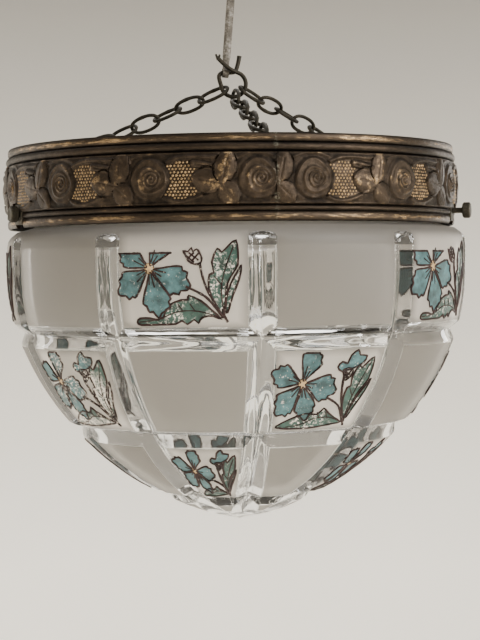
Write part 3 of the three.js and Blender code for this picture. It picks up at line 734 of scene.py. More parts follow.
def plain_radius(height):
    """The band's outer radius at heights above its foot, without the relief."""
    across = bulge(height, FRIEZE_FOOT, FRIEZE_TOP)
    radius = FRIEZE_RADIUS + FRIEZE_ROUNDING * across ** 0.4 + FRIEZE_SWELL * across
    for foot, top, plain, swell in MOULDINGS:
        inside = (height >= foot) & (height < top)
        radius = np.where(inside, (plain + swell * bulge(height, foot, top)) * MM, radius)
    return radius


def line_distance(x, y, points):
    """Distance from places to a line of points, all in millimetres."""
    best = np.full(x.shape, 1e9)
    for (ax, ay), (bx, by) in zip(points[:-1], points[1:]):
        dx, dy = bx - ax, by - ay
        t = np.clip(((x - ax) * dx + (y - ay) * dy) / (dx * dx + dy * dy), 0, 1)
        best = np.minimum(best, np.hypot(x - ax - t * dx, y - ay - t * dy))
    return best


def arc_line(points, steps=8):
    """A smooth line through a few points."""
    return [catmull(points, i / steps) for i in range((len(points) - 1) * steps + 1)]


def catmull(points, place):
    """A point on a smooth curve through points; place counts points."""
    i = min(int(place), len(points) - 2)
    t = place - i
    p = [np.array(points[max(0, min(len(points) - 1, i + k))], dtype=float) for k in (-1, 0, 1, 2)]
    return tuple(0.5 * (2 * p[1] + (p[2] - p[0]) * t
                        + (2 * p[0] - 5 * p[1] + 4 * p[2] - p[3]) * t * t
                        + (3 * p[1] - p[0] - 3 * p[2] + p[3]) * t ** 3))


# The frieze's pattern, in millimetres right of and above a rose's centre
UPPER_RIM = ((6, 7), (11, 10), (18, 12.2), (27, 12.6), (36, 12), (41, 12.8))
LOWER_RIM = ((7, -9.5), (12, -12.4), (19, -13.2), (27, -11.4), (34, -8), (41, -3.6))
FINGER = ((26, 8.6), (33, 7.4), (38.5, 6.4))
LEAVES = (
    ((24.8, 0.6), (42.3, -3.2), 7.4, 1.0),
    ((46.6, 16.4), (42.4, -3.0), 6.4, 1.05),
    ((51.8, -13.4), (41.6, -3.6), 6.4, 0.95),
    ((-11.8, -13.4), (-22.0, -3.6), 6.4, 0.95),
)
LEAF_CURL = ((42, -3), (48.5, 0.6), (51.6, 6), (50.4, 12), (46, 15))
LEAF_SPLIT = ((42, -3), (48, -3.2), (52, -6.5), (52.6, -12), (50, -14.6))
SWIRLS = (
    ((-11.5, 12.5), (-4, 14.5), (4, 14.2), (10, 12.2)),
    ((-11.5, -14.2), (-4, -15), (4, -14.6), (12, -14.4)),
)
# Raised lines: points, width and height
RAISED_LINES = (
    (UPPER_RIM, 1.15, 0.62), (LOWER_RIM, 1.3, 0.66), (LEAF_CURL, 0.9, 0.5),
    (LEAF_SPLIT, 0.9, 0.42), (SWIRLS[0], 1.1, 0.34), (SWIRLS[1], 1.1, 0.34),
)
FINGER_HALF = 2.3
FINGER_GROOVE = ((27, 8.1), (37, 6.3))
FIELD_DEPTH = 0.3
FIELD_INSET = 1.6
PETAL_RISE = 0.78


def in_field(x, y):
    """Whether places lie in the beaded field between a rose and its leaves."""
    top, foot = (np.interp(x, *zip(*rim)) for rim in (UPPER_RIM, LOWER_RIM))
    rose = np.hypot(x, y) > ROSE_RADIUS + 0.6
    leaf = ((x - 34) / 9.0) ** 2 + ((y + 1.2) / 7.4) ** 2 > 1
    finger = line_distance(x, y, FINGER) > FINGER_HALF + 0.5
    between = (y < top - FIELD_INSET) & (y > foot + FIELD_INSET) & (x > 0) & (x < 35)
    return between & rose & leaf & finger


def ridge(distance, width):
    """A rounded ridge beside a line."""
    return np.exp(-(distance / width) ** 2)


def frieze_relief(x, y):
    """Height of the pattern at places beside a rose, from about -0.3 to 1."""
    height = 0.16 * np.sin(x * 0.33 + 1.2) * np.cos(y * 0.3)
    for points, width, rise in RAISED_LINES:
        distance = line_distance(x, y, arc_line(points))
        height = np.maximum(height, rise * ridge(distance, width))
    height = np.where(in_field(x, y), -FIELD_DEPTH, height)
    finger = line_distance(x, y, FINGER)
    height = np.maximum(height, 0.75 * np.sqrt(np.maximum(0, 1 - (finger / FINGER_HALF) ** 2)))
    height -= 0.4 * ridge(line_distance(x, y, FINGER_GROOVE), 0.5) * (finger < FINGER_HALF)
    for tip, leaf_base, wide, rise in LEAVES:
        height = leaf_relief(x, y, height, tip, leaf_base, wide, rise)
    return rose_relief(x, y, height)


def rose_relief(x, y, height):
    """Adds a round rose whose petals wind outwards from a heart beside its centre."""
    rho = np.hypot(x, y * 0.97) / ROSE_RADIUS
    from_heart = x - 1.6 * np.maximum(0, 1 - rho)
    angle = np.arctan2(y, from_heart)
    reach = np.hypot(from_heart, y) / ROSE_RADIUS
    reach *= 1 + 0.12 * np.clip(rho - 0.25, 0, 1) * np.cos(3 * angle + 5 * rho)
    turns = 5.6 * np.minimum(reach, 0.5) + 2.9 * np.maximum(reach - 0.5, 0)
    turns = turns - angle / (2 * math.pi) + 0.2
    within = turns - np.floor(turns)
    petal = np.where(within < PETAL_RISE, (within / PETAL_RISE) ** 2.2,
                     (1 - within) / (1 - PETAL_RISE))
    rose = 0.12 + 0.46 * np.sqrt(np.maximum(0, 1 - rho ** 2.6)) + 0.40 * petal * (1.1 - 0.3 * rho)
    rose = np.maximum(rose * np.clip((1 - rho) / 0.09, 0.25, 1), height - 0.2)
    height = np.where(rho < 1, rose, height)
    return np.where((rho >= 1) & (rho < 1.07), np.minimum(height, 0.0), height)


def leaf_relief(x, y, height, tip, base, wide, rise):
    """Adds a pointed leaf with a rolled edge, a sunk middle vein and side folds."""
    along_x, along_y = tip[0] - base[0], tip[1] - base[1]
    length = math.hypot(along_x, along_y)
    along_x, along_y = along_x / length, along_y / length
    t = ((x - base[0]) * along_x + (y - base[1]) * along_y) / length
    across = -(x - base[0]) * along_y + (y - base[1]) * along_x
    inside = (t > 0) & (t < 1)
    half = wide * np.sin(math.pi * np.clip(t, 0, 1) ** 0.9) ** 0.55
    side = np.abs(across) / np.maximum(half, 1e-6)
    leaf = inside & (side < 1)
    shape = 0.16 + 0.64 * np.maximum(0, 1 - side ** 2) ** 0.7 + 0.12 * ridge(side - 0.93, 0.07)
    shape -= 0.16 * ridge(across, 0.4) * (t < 0.75)
    height = np.where(inside & (side >= 1) & (side < 1.14), np.minimum(height, -0.02), height)
    return np.where(leaf, np.maximum(height, rise * shape), height)


def beside_rose(degrees_round):
    """Millimetres right of the rose that an azimuth in degrees belongs to."""
    past = degrees_round - ROSE_FIRST
    step = np.clip(np.floor(past / ROSE_STEP + ROSE_LEAD), -1, ROSE_COUNT - 1)
    return np.radians(past - step * ROSE_STEP) * BAND_RADIUS / MM


def uneven(azimuth, height, scale, seed):
    """Slow waves over the band, like old pressed metal, from about -1 to 1."""
    random = np.random.default_rng(seed)
    total = np.zeros_like(azimuth)
    for _ in range(7):
        around = random.integers(int(6 * scale), int(26 * scale))
        up = random.uniform(-1, 1) * 160 * scale
        total += np.sin(azimuth * around + height * up + random.uniform(0, 6.28))
    return total / 4


def band_rows():
    """Heights in the notches, rows up to the notches' top, and heights outside and inside."""
    def between(*stops):
        heights = [stops[0][0]]
        for (low, _), (high, count) in zip(stops, stops[1:]):
            heights += list(np.linspace(low, high, count))[1:]
        return heights

    inner = [NOTCH_TOP, FRIEZE_FOOT, LOWER_BEAD_TOP / 2, 0.3 * MM]
    foot = between((0.05 * MM, 0), (LOWER_BEAD_TOP, 11), (FRIEZE_FOOT, 8), (NOTCH_TOP, 13))
    outer = between((NOTCH_TOP, 0), (FRIEZE_TOP, 52), (RIM_BEAD_FOOT, 10), (BAND_HEIGHT, 11))[1:]
    top = [BAND_HEIGHT, GROOVE_TOP + 0.5 * MM, GROOVE_TOP - 0.5 * MM, 24 * MM]
    return inner, len(foot), foot + outer, top


def notch_ends(angles, start, end):
    """Moves angles onto the notches' sides; returns the two columns where each notch ends."""
    notches = []
    half = math.degrees(NOTCH_HALF / BAND_RADIUS)
    for azimuth in BRACKET_ANGLES:
        if start < azimuth < end:
            sides = (azimuth - half, azimuth + half)
            ends = [int(np.argmin(abs(angles - side))) for side in sides]
            angles[ends] = sides
            notches.append(ends)
    return notches


def band_surface(turn, level, outside, relief):
    """Radius of the band's skin, and how soldered and moulded each place is, with its tone: patina
    in hollows, rubbed wear and painted sheen on raised places.
    """
    x = beside_rose(np.degrees(turn))
    y = (level - FRIEZE_FOOT - ROSE_HEIGHT) / MM
    from_edge = np.minimum(level - FRIEZE_FOOT, FRIEZE_TOP - level) / MM
    inside = np.clip(from_edge / 1.3, 0, 1)
    pattern = frieze_relief(x, y) * inside
    # A thin ridge along each edge of the frieze, painted lighter below as a highlight line.
    edge_line = ridge(from_edge - 0.9, 0.45)
    waves = uneven(turn, level, 1.0, SEED)
    fine = uneven(turn, level, 7.0, SEED + 1)
    from_seam = np.radians(np.minimum(np.degrees(turn), 360 - np.degrees(turn))) * BAND_RADIUS / MM
    from_seam += 0.9 * np.sin(level / MM * 0.8) + 0.5 * np.sin(level / MM * 2.7)
    seam = ridge(from_seam, 0.8)
    radius = plain_radius(level) + relief * pattern
    radius += (0.12 * waves + 0.05 * fine + 0.25 * seam + 0.4 * edge_line) * MM
    grooved = (level >= GROOVE_FOOT) & (level <= GROOVE_TOP)
    radius = np.where(outside, radius, np.where(grooved, GROOVE_BORE, BAND_BORE))
    # Bead crests: rubbed wear, and painted glints where the beads bulge out most.
    bright = bulge(level, 0, LOWER_BEAD_TOP) + bulge(level, RIM_BEAD_FOOT, BAND_HEIGHT)
    dull = bulge(level, LOWER_BEAD_TOP, FRIEZE_FOOT) + bulge(level, FRIEZE_TOP, RIM_BEAD_FOOT)
    # Tone: dark patina in the hollows, lighter on the relief as rubbed wear and painted sheen, with
    # a painted highlight along the edge ridges.
    wear_and_sheen = np.where(inside > 0, 0.33 + 0.42 * pattern + 0.3 * edge_line,
                     0.16 + 0.62 * bright ** 2 + 0.40 * dull ** 3)
    wear_and_sheen = np.where((inside > 0) & in_field(x, y), 0.56, wear_and_sheen)
    wear_and_sheen = np.clip(np.where(outside, wear_and_sheen + 0.07 * waves, 0.25), 0, 1)
    return radius, {"relief": wear_and_sheen, "seam": np.where(outside, seam, 0),
                    "around": turn * BAND_RADIUS, "moulding": outside & (inside == 0)}


def band_faces(shape, notches, last_row):
    """Faces of a closed half band whose notches reach up to a row."""
    index = np.arange(shape[0] * shape[1]).reshape(shape)
    below = np.concatenate([index[1:], index[:1]])
    cells = np.stack([index[:, :-1], index[:, 1:], below[:, 1:], below[:, :-1]], -1)
    keep = np.ones(cells.shape[:2], dtype=bool)
    faces = []
    for first, last in notches:
        keep[:last_row, first:last] = False
        faces += [[index[last_row, c], index[last_row, c + 1], index[0, c + 1], index[0, c]]
                  for c in range(first, last)]
        faces.append(list(index[:last_row + 1, first]))
        faces.append(list(index[:last_row + 1, last])[::-1])
    faces += cells[keep].tolist()
    faces.append(list(index[:, 0])[::-1])
    faces.append(list(index[:, -1]))
    return faces


def band_half(name, start, end, relief):
    """One closed half of the gallery band, between two azimuths in degrees, with its notches."""
    inner, notch_rows, outer, top = band_rows()
    angles = np.linspace(start, end, BAND_COLUMNS)
    notches = notch_ends(angles, start, end)
    turn, level = np.meshgrid(np.radians(angles), np.array(inner + outer + top))
    outside = np.zeros(turn.shape, dtype=bool)
    outside[len(inner):len(inner) + len(outer)] = True
    radius, marks = band_surface(turn, level, outside, relief)
    vertices = np.stack([BAND_X + radius * np.sin(turn), -radius * np.cos(turn),
                         BAND_FOOT + level], -1)
    faces = band_faces(turn.shape, notches, len(inner) - 1 + notch_rows)
    used = np.zeros(turn.size, dtype=bool)
    used[[v for face in faces for v in face]] = True
    renumber = np.cumsum(used) - 1
    faces = [[int(renumber[v]) for v in face] for face in faces]
    piece = mesh_piece(name, vertices.reshape(-1, 3)[used], faces, [finish("gallery")], sharp=48)
    for label, values in marks.items():
        add_attribute(piece, label, values.reshape(-1)[used])
    outward(piece)
    return piece


def bead_points(relief):
    """Places of the beads in every field of the frieze, and the way each one faces."""
    random = np.random.default_rng(SEED)
    points, facing = [], []
    for rose, row, column in itertools.product(range(-1, ROSE_COUNT), range(-8, 9), range(20)):
        x = (column + (row % 2) / 2) * BEAD_SPACING + random.uniform(-BEAD_JITTER, BEAD_JITTER)
        y = row * BEAD_SPACING * BEAD_ROW + random.uniform(-BEAD_JITTER, BEAD_JITTER)
        azimuth = ROSE_FIRST + rose * ROSE_STEP + math.degrees(x * MM / BAND_RADIUS)
        if in_field(np.array(x), np.array(y)) and 1.0 < azimuth < 359.0:
            level = FRIEZE_FOOT + ROSE_HEIGHT + y * MM
            turn = math.radians(azimuth)
            points.append(polar(turn, float(plain_radius(level)) - FIELD_DEPTH * relief, level))
            facing.append((math.sin(turn), -math.cos(turn), 0.0))
    return points, facing


class PENDANT_OT_gallery(bpy.types.Operator):
    """Embosses the gallery band with roses, leaves and beads"""
    bl_idname = "pendant.gallery"
    bl_label = "Gallery Band"

    def execute(self, context):
        sizes = context.scene.pendant_sizes
        right = band_half("gallery_right", 0, 180, sizes.relief)
        left = band_half("gallery_left", 180, 360, sizes.relief)
        points, facing = bead_points(sizes.relief)
        beads = settle(point_piece("gallery_beads", points, facing), bead_tree(), {
            "Bead Radius": sizes.bead, "Unevenness": BEAD_UNEVENNESS,
            "Material": finish("beads")})
        for piece in (right, left, beads):
            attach(piece, BODY)
        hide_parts("gallery_band")
        return {"FINISHED"}


# Glass bowl

class Outline:
    """The bowl's outline below the band, by distance down it from the shoulder."""

    def __init__(self):
        steps = 60
        count = (len(BOWL_OUTLINE) - 1) * steps
        points = np.array([catmull(BOWL_OUTLINE, i / steps) for i in range(count + 1)])
        self.radius = points[:, 0] * BOWL_RADIUS
        self.depth = points[:, 1] * BOWL_DEPTH
        lengths = np.hypot(np.diff(self.radius), np.diff(self.depth))
        self.place = np.concatenate([[0], np.cumsum(lengths)])
        self.length = self.place[-1]

    def at(self, place):
        """Radius and depth at distances down the outline."""
        return np.interp(place, self.place, self.radius), np.interp(place, self.place, self.depth)

    def normal(self, place):
        """The outward direction (out, down) at distances down the outline."""
        step = 0.4 * MM
        r0, d0 = self.at(np.maximum(place - step, 0))
        r1, d1 = self.at(np.minimum(place + step, self.length))
        across, down = d1 - d0, r0 - r1
        size = np.hypot(across, down)
        return across / size, down / size

    def place_of_depth(self, depth):
        """Distance down the outline at a depth."""
        return float(np.interp(depth, self.depth, self.place))


OUTLINE = Outline()
CROSS_CUTS = [OUTLINE.place_of_depth(depth) for depth in CROSS_CUT_DEPTHS]


def eased(share):
    """A rise from 0 to 1, rounded at both ends, as on fire-polished glass."""
    share = np.clip(share, 0, 1)
    return 0.4 * share ** 1.5 + 0.6 * smooth_step(share)


def smooth_step(share):
    """A share from 0 to 1 that starts and ends gently."""
    return share ** 2 * (3 - 2 * share)


def cut_depth(around, place, radius):
    """Depth of the mitre cuts; around is the distance from the nearest upright cut's middle."""
    upright = CUT_DEPTH * eased(1 - abs(around) / (CUT_WIDTH / 2))
    arch = CUT_ARCH * (1 - np.sqrt(np.maximum(0, 1 - (around / (CUT_WIDTH / 2)) ** 2)))
    end = CUT_DEPTH * eased((place - CUT_TOP - arch) / CUT_END)
    fade = np.clip(radius / (BOWL_RADIUS * 0.3), 0, 1)
    upright = np.minimum(upright, end) * fade
    level = np.zeros_like(place + around)
    for cut in CROSS_CUTS:
        level = np.maximum(level, CUT_DEPTH * eased(1 - abs(place - cut) / (CROSS_CUT_WIDTH / 2)))
    return np.maximum(upright, level)


def panel_edge(radius):
    """Half the angle that an upright cut takes at a radius."""
    return np.minimum(CUT_WIDTH / 2 / np.maximum(radius, 1 * MM), COLUMN_PITCH * 0.42)


def bowl_polar(turn, radius, height):
    """A place by the angle from the first cut, radius from the bowl's axis and height."""
    return polar(turn + math.radians(BOWL_TURN), radius, height, BAND_X + BOWL_SHIFT)


def bowl_point(turn, place, raised=0.0):
    """A place on the uncut bowl, by angle from the first cut and distance down the outline."""
    radius, depth = OUTLINE.at(place)
    out, down = OUTLINE.normal(place)
    return bowl_polar(turn, float(radius + out * raised), float(-depth - down * raised))


def bowl_stations():
    """Distances down the outline for the rows of the outer skin."""
    half = CROSS_CUT_WIDTH / 2
    last = CUT_TOP + CUT_END + CUT_ARCH
    places = list(np.linspace(0, CUT_TOP, 5)) + list(np.linspace(CUT_TOP, last, 17))[1:]
    for cut in CROSS_CUTS:
        places += list(np.linspace(last, cut - half, 13))[1:]
        places += list(np.linspace(cut - half, cut + half, 19))[1:]
        last = cut + half
    places += list(np.linspace(last, OUTLINE.length * 0.997, 9))[1:]
    return np.array(places)


def ring_turns(radius):
    """Angles round the bowl: each column goes from a cut over its panel to the next cut."""
    edge = panel_edge(radius)
    one = np.concatenate([
        np.linspace(0, edge, CUT_STEPS, endpoint=False),
        np.linspace(edge, COLUMN_PITCH - edge, PANEL_STEPS, endpoint=False),
        np.linspace(COLUMN_PITCH - edge, COLUMN_PITCH, CUT_STEPS, endpoint=False)])
    return np.concatenate([one + COLUMN_PITCH * column for column in range(BOWL_COLUMNS)])


def neck_outline():
    """Radii and heights of the lip and neck, from the bore over the lip to the shoulder."""
    top = LIP_UNDERSIDE + LIP_HEIGHT
    return [
        (NECK_BORE, top - 1 * MM), (NECK_BORE + 1 * MM, top), (LIP_RADIUS - 1.2 * MM, top),
        (LIP_RADIUS, top - 1.2 * MM), (LIP_RADIUS, LIP_UNDERSIDE + 1 * MM),
        (LIP_RADIUS - 1 * MM, LIP_UNDERSIDE), (NECK_RADIUS + 0.8 * MM, LIP_UNDERSIDE),
        (NECK_RADIUS, LIP_UNDERSIDE - 1 * MM), (NECK_RADIUS, NECK_START + 1 * MM),
        (NECK_RADIUS + 1.5 * MM, NECK_START * 0.5), (NECK_RADIUS + 6 * MM, -0.2 * MM),
    ]


def skin_row(place):
    """One row of the outer skin: points, cut depths, and marks for paint and streaks."""
    radius, depth = (float(v) for v in OUTLINE.at(place))
    out, down = (float(v) for v in OUTLINE.normal(place))
    turns = ring_turns(radius)
    beside = ((turns + COLUMN_PITCH / 2) % COLUMN_PITCH - COLUMN_PITCH / 2) * radius
    sunk = cut_depth(beside, np.full_like(turns, place), np.full_like(turns, radius))
    points = [bowl_polar(turn, radius - out * deep, -depth + down * deep)
              for turn, deep in zip(turns, sunk)]
    cut = min(CROSS_CUTS, key=lambda middle: abs(place - middle))
    upright = abs(beside) < CUT_WIDTH / 2
    marks = {"painted": painted_ground(turns, place, radius),
             "across": np.where(upright, beside, place - cut),
             "along": np.where(upright, place, turns * radius)}
    return points, sunk, marks


def bowl_skin():
    """Vertices, faces, face finishes (0 clear, 1 matt) and vertex marks of the closed bowl."""
    neck, stations = neck_outline(), bowl_stations()
    count = (2 * CUT_STEPS + PANEL_STEPS) * BOWL_COLUMNS
    skin = [skin_row(place) for place in stations]
    rows = [[bowl_polar(turn, radius, height) for turn in ring_turns(radius)]
            for radius, height in neck]
    rows += [points for points, _, _ in skin]
    rows.append([polar(0, 0, -BOWL_DEPTH, BAND_X + BOWL_SHIFT)])
    for place in np.linspace(OUTLINE.length * 0.985, 14 * MM, INNER_ROWS):
        radius, depth = (float(v) for v in OUTLINE.at(place))
        out, down = (float(v) for v in OUTLINE.normal(place))
        inner = max(radius - out * GLASS_WALL, 2 * MM)
        rows.append([bowl_polar(turn, inner, -depth + down * GLASS_WALL)
                     for turn in ring_turns(radius)])
    rows.append([bowl_polar(turn, NECK_BORE - 0.2 * MM, NECK_START - GLASS_WALL * 0.6)
                 for turn in ring_turns(NECK_BORE)])
    rows.append([polar(0, 0, -BOWL_DEPTH + GLASS_WALL, BAND_X + BOWL_SHIFT)])
    vertices = [point for row in rows for point in row]
    starts = np.cumsum([0] + [len(row) for row in rows])
    last_skin = len(neck) + len(skin) - 1
    faces, finishes = [], []

    def strip(upper, lower, kinds):
        first, second = starts[upper], starts[lower]
        for i, j in enumerate(np.roll(np.arange(count), -1)):
            faces.append((first + i, second + i, second + j, first + j))
            finishes.append(kinds[i])

    matt, clear = [1] * count, [0] * count
    for row in range(last_skin):
        kinds = matt
        if row >= len(neck):
            deepest = np.maximum(skin[row - len(neck)][1], skin[row - len(neck) + 1][1])
            kinds = [int(flat) for flat in np.maximum(deepest, np.roll(deepest, -1)) < 1e-6]
        strip(row, row + 1, kinds)
    first_inner = last_skin + 2
    pole, inner_pole = starts[last_skin + 1], starts[-2]
    for i, j in enumerate(np.roll(np.arange(count), -1)):
        faces.append((starts[last_skin] + i, pole, starts[last_skin] + j))
        finishes.append(1)
        faces.append((starts[first_inner] + j, inner_pole, starts[first_inner] + i))
        finishes.append(0)
    for row in range(first_inner, first_inner + INNER_ROWS):
        strip(row, row + 1, clear)
    strip(first_inner + INNER_ROWS, 0, clear)
    marks = {}
    for name in skin[0][2]:
        marks[name] = np.zeros(len(vertices))
        values = [row_marks[name] for _, _, row_marks in skin]
        marks[name][starts[len(neck)]:pole] = np.concatenate(values)
    return vertices, faces, finishes, marks


def panel_spans():
    """Top and foot of the three panel rows, as distances down the outline."""
    half = CROSS_CUT_WIDTH / 2
    tops = [CUT_TOP] + [cut + half for cut in CROSS_CUTS[:2]]
    return list(zip(tops, [cut - half for cut in CROSS_CUTS]))


def painted_ground(turns, place, radius):
    """How far places are painted: 1 inside a painted panel, fading to 0 at its edges."""
    row = sum(place > cut for cut in CROSS_CUTS)
    if row == len(CROSS_CUTS):
        return np.zeros_like(turns)
    top, foot = panel_spans()[row]
    beside = (COLUMN_PITCH / 2 - abs(turns % COLUMN_PITCH - COLUMN_PITCH / 2)) * radius
    inside = np.minimum(beside - CUT_WIDTH / 2, min((place - top) * 0.7, foot - place))
    share = np.clip(inside / PAINT_FADE + 0.25, 0, 1)
    chosen = (np.floor(turns / COLUMN_PITCH).astype(int) + row) % 2 == 1
    return np.where(chosen, smooth_step(share), 0)


class PENDANT_OT_bowl(bpy.types.Operator):
    """Presses the glass bowl with its mitre cuts and matt panels"""
    bl_idname = "pendant.bowl"
    bl_label = "Glass Bowl"

    def execute(self, context):
        vertices, faces, finishes, marks = bowl_skin()
        bowl = mesh_piece("pressed_bowl", vertices, faces, [finish("clear"), finish("frosted")], 14,
                          finishes)
        for label, values in marks.items():
            add_attribute(bowl, label, values)
        outward(bowl)
        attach(bowl, BODY)
        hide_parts("glass_bowl")
        return {"FINISHED"}


# Painted flowers. The motif is drawn on a panel 1.5 wide and 1 high.

MOTIF_WIDTH = 1.5
WORN_PANELS = ((8, 1), (3, 0))
FLOWER = (0.375, 0.62)
# Petals: angle in degrees and length
PETALS = ((150, 0.44), (216, 0.50), (281, 0.52), (342, 0.51), (64, 0.44))
PETAL_WIDTH = 1.12
PETAL_SIDE = (
    (0.10, 0.025), (0.3, 0.13), (0.5, 0.235), (0.68, 0.29), (0.72, 0.235), (0.84, 0.24),
    (0.86, 0.14), (1.0, 0.05), (0.97, -0.06), (0.84, -0.12), (0.83, -0.2), (0.7, -0.22),
    (0.64, -0.28), (0.48, -0.22), (0.3, -0.12), (0.10, -0.025),
)
CENTRE_RADIUS = 0.056
CLIPPED_TOP, FULL_TOP = 0.78, 0.97
STEM_FOOT = (1.22, 0.10)
LINE_SIDES = 5


def on_circle(centre, radius, angle):
    """A point by its distance and its angle in radians from a centre."""
    return centre[0] + radius * math.cos(angle), centre[1] + radius * math.sin(angle)


def petal_outline(angle, length):
    """A notched petal from the flower's centre, wider past its middle, with three teeth."""
    cos, sin = math.cos(math.radians(angle)), math.sin(math.radians(angle))
    points = []
    for along, across in PETAL_SIDE:
        a, b = along * length, across * length * PETAL_WIDTH
        points.append((FLOWER[0] + a * cos - b * sin, FLOWER[1] + a * sin + b * cos))
    return points


LOW_LEAF = (
    (1.20, 0.085), (1.10, 0.12), (1.00, 0.115), (0.95, 0.08), (0.93, 0.045), (0.88, 0.085),
    (0.80, 0.035), (0.74, 0.075), (0.66, 0.04), (0.48, 0.035), (0.24, 0.03), (0.19, 0.06),
    (0.23, 0.10), (0.36, 0.10), (0.46, 0.085), (0.50, 0.15), (0.59, 0.20), (0.63, 0.255),
    (0.74, 0.29), (0.82, 0.295), (0.83, 0.34), (0.97, 0.28), (1.08, 0.19),
)
TALL_LEAF = (
    (1.22, 0.13), (1.12, 0.26), (1.06, 0.42), (1.07, 0.55), (1.12, 0.57), (1.10, 0.68),
    (1.16, 0.82), (1.21, 0.78), (1.29, 0.85), (1.37, 0.90), (1.39, 0.78), (1.385, 0.65),
    (1.33, 0.56), (1.27, 0.46), (1.245, 0.30),
)
BLADE = (
    (1.25, 0.15), (1.255, 0.30), (1.31, 0.46), (1.395, 0.60), (1.43, 0.645), (1.40, 0.50),
    (1.33, 0.34), (1.285, 0.2),
)
LONG_LEAF = (
    (1.20, 0.10), (1.03, 0.17), (0.87, 0.25), (0.79, 0.30), (0.70, 0.22), (0.51, 0.24),
    (0.27, 0.17), (0.06, 0.075), (0.10, 0.05), (0.28, 0.035), (0.63, 0.035), (0.89, 0.06),
    (1.06, 0.08),
)
BLOOM = (
    (0.84, 0.80), (0.89, 0.86), (0.97, 0.84), (1.00, 0.93), (1.09, 0.99), (1.13, 0.93),
    (1.24, 0.92), (1.21, 0.84), (1.10, 0.79), (1.00, 0.76), (0.91, 0.75),
)
CALYX = ((0.93, 0.77), (0.96, 0.70), (0.98, 0.64), (1.04, 0.66), (1.08, 0.71), (1.07, 0.78))
CALYX_HATCH = (
    ((0.95, 0.75), (1.06, 0.70)), ((0.96, 0.71), (1.05, 0.67)), ((0.98, 0.66), (1.06, 0.76)),
    ((0.96, 0.76), (1.02, 0.66)),
)
LEAF_RIBS = (
    ((1.20, 0.10), (0.95, 0.17), (0.7, 0.17), (0.46, 0.09), (0.22, 0.06)),
    ((0.90, 0.17), (0.84, 0.25)),
    ((0.76, 0.17), (0.70, 0.25)),
    ((1.23, 0.14), (1.2, 0.40), (1.25, 0.62), (1.34, 0.84)),
    ((1.205, 0.44), (1.12, 0.54)),
)
STEMS = (
    (STEM_FOOT, (1.06, 0.29), (0.94, 0.37), (0.80, 0.43)),
    (STEM_FOOT, (1.15, 0.22), (1.04, 0.40), (0.985, 0.56), (0.965, 0.68)),
    ((1.27, 0.055), (1.235, 0.12), (1.215, 0.2)),
)
BUD = (
    (0.97, 0.67), (0.90, 0.66), (0.83, 0.70), (0.80, 0.76), (0.775, 0.80), (0.83, 0.79),
    (0.87, 0.83), (0.885, 0.79), (0.93, 0.815), (0.965, 0.77), (0.985, 0.72),
)
BUD_HATCH = (
    ((0.83, 0.72), (0.90, 0.78)), ((0.87, 0.69), (0.95, 0.77)), ((0.84, 0.78), (0.95, 0.70)),
    ((0.81, 0.75), (0.90, 0.68)),
)


def on_panel(column, row, x, y, raised):
    """A motif point laid on a panel of the bowl."""
    top, foot = panel_spans()[row]
    place = foot + (top - foot) * y
    edge = float(panel_edge(float(OUTLINE.at(place)[0])))
    turn = column * COLUMN_PITCH + edge + (COLUMN_PITCH - 2 * edge) * x / MOTIF_WIDTH
    return bowl_point(turn, place, raised)


def painted_panels():
    """Column and row of each painted panel."""
    return [(column, row) for row in range(3) for column in range(BOWL_COLUMNS)
            if (column + row) % 2 == 1]


def panel_wear(column, row):
    """How much of a panel's paint is rubbed off, beyond the usual chips."""
    random = np.random.default_rng(SEED * 31 + column * 7 + row)
    return 0.5 if (column, row) in WORN_PANELS else float(random.uniform(-0.1, 0.25))


def patch_mesh(outline, spacing=0.035):
    """Points, triangles and border edges that fill an outline, with inner points for the curve."""
    points = [Vector(p) for p in outline]
    low, high = (Vector([pick(p[k] for p in outline) for k in (0, 1)]) for pick in (min, max))
    edges = [(i, (i + 1) % len(points)) for i in range(len(points))]
    columns, rows = (int(span / spacing) + 1 for span in high - low)
    points += [low + Vector((i + 0.5, j + 0.5)) * spacing
               for i in range(columns) for j in range(rows)]
    verts, _, faces, *_ = delaunay_2d_cdt(points, edges, [], 1, 1e-5)
    sides = dict.fromkeys((a, b) for face in faces for a, b in zip(face, face[1:] + face[:1]))
    return verts, faces, [(a, b) for a, b in sides if (b, a) not in sides]


def smooth_outline(points, steps=3):
    """Rounds the sides of a closed outline between its points."""
    result = []
    count = len(points)
    for i in range(count):
        before, a, b, after = (np.array(points[(i + k) % count]) for k in (-1, 0, 1, 2))
        result.append(tuple(a))
        for k in range(1, steps):
            t = k / steps
            lift = ((a - before) - (after - b)) * 0.06 * math.sin(math.pi * t)
            result.append(tuple(a + (b - a) * t + lift))
    return result


def patch_piece(name, patches, material, rise):
    """Thin closed flakes of enamel on the glass; patches are (column, row, outline)."""
    vertices, faces, worn = [], [], []
    for column, row, outline in patches:
        verts, tris, border = patch_mesh(outline)
        worn += [panel_wear(column, row)] * (2 * len(verts))
        first = len(vertices)
        vertices += [on_panel(column, row, v.x, v.y, rise) for v in verts]
        under = len(vertices)
        vertices += [on_panel(column, row, v.x, v.y, -FLAKE_SINK) for v in verts]
        faces += [tuple(first + v for v in tri) for tri in tris]
        faces += [tuple(under + v for v in reversed(tri)) for tri in tris]
        faces += [(first + b, first + a, under + a, under + b) for a, b in border]
    piece = mesh_piece(name, vertices, faces, [material], 40)
    add_attribute(piece, "worn", worn)
    outward(piece)
    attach(piece, BODY)
    return piece


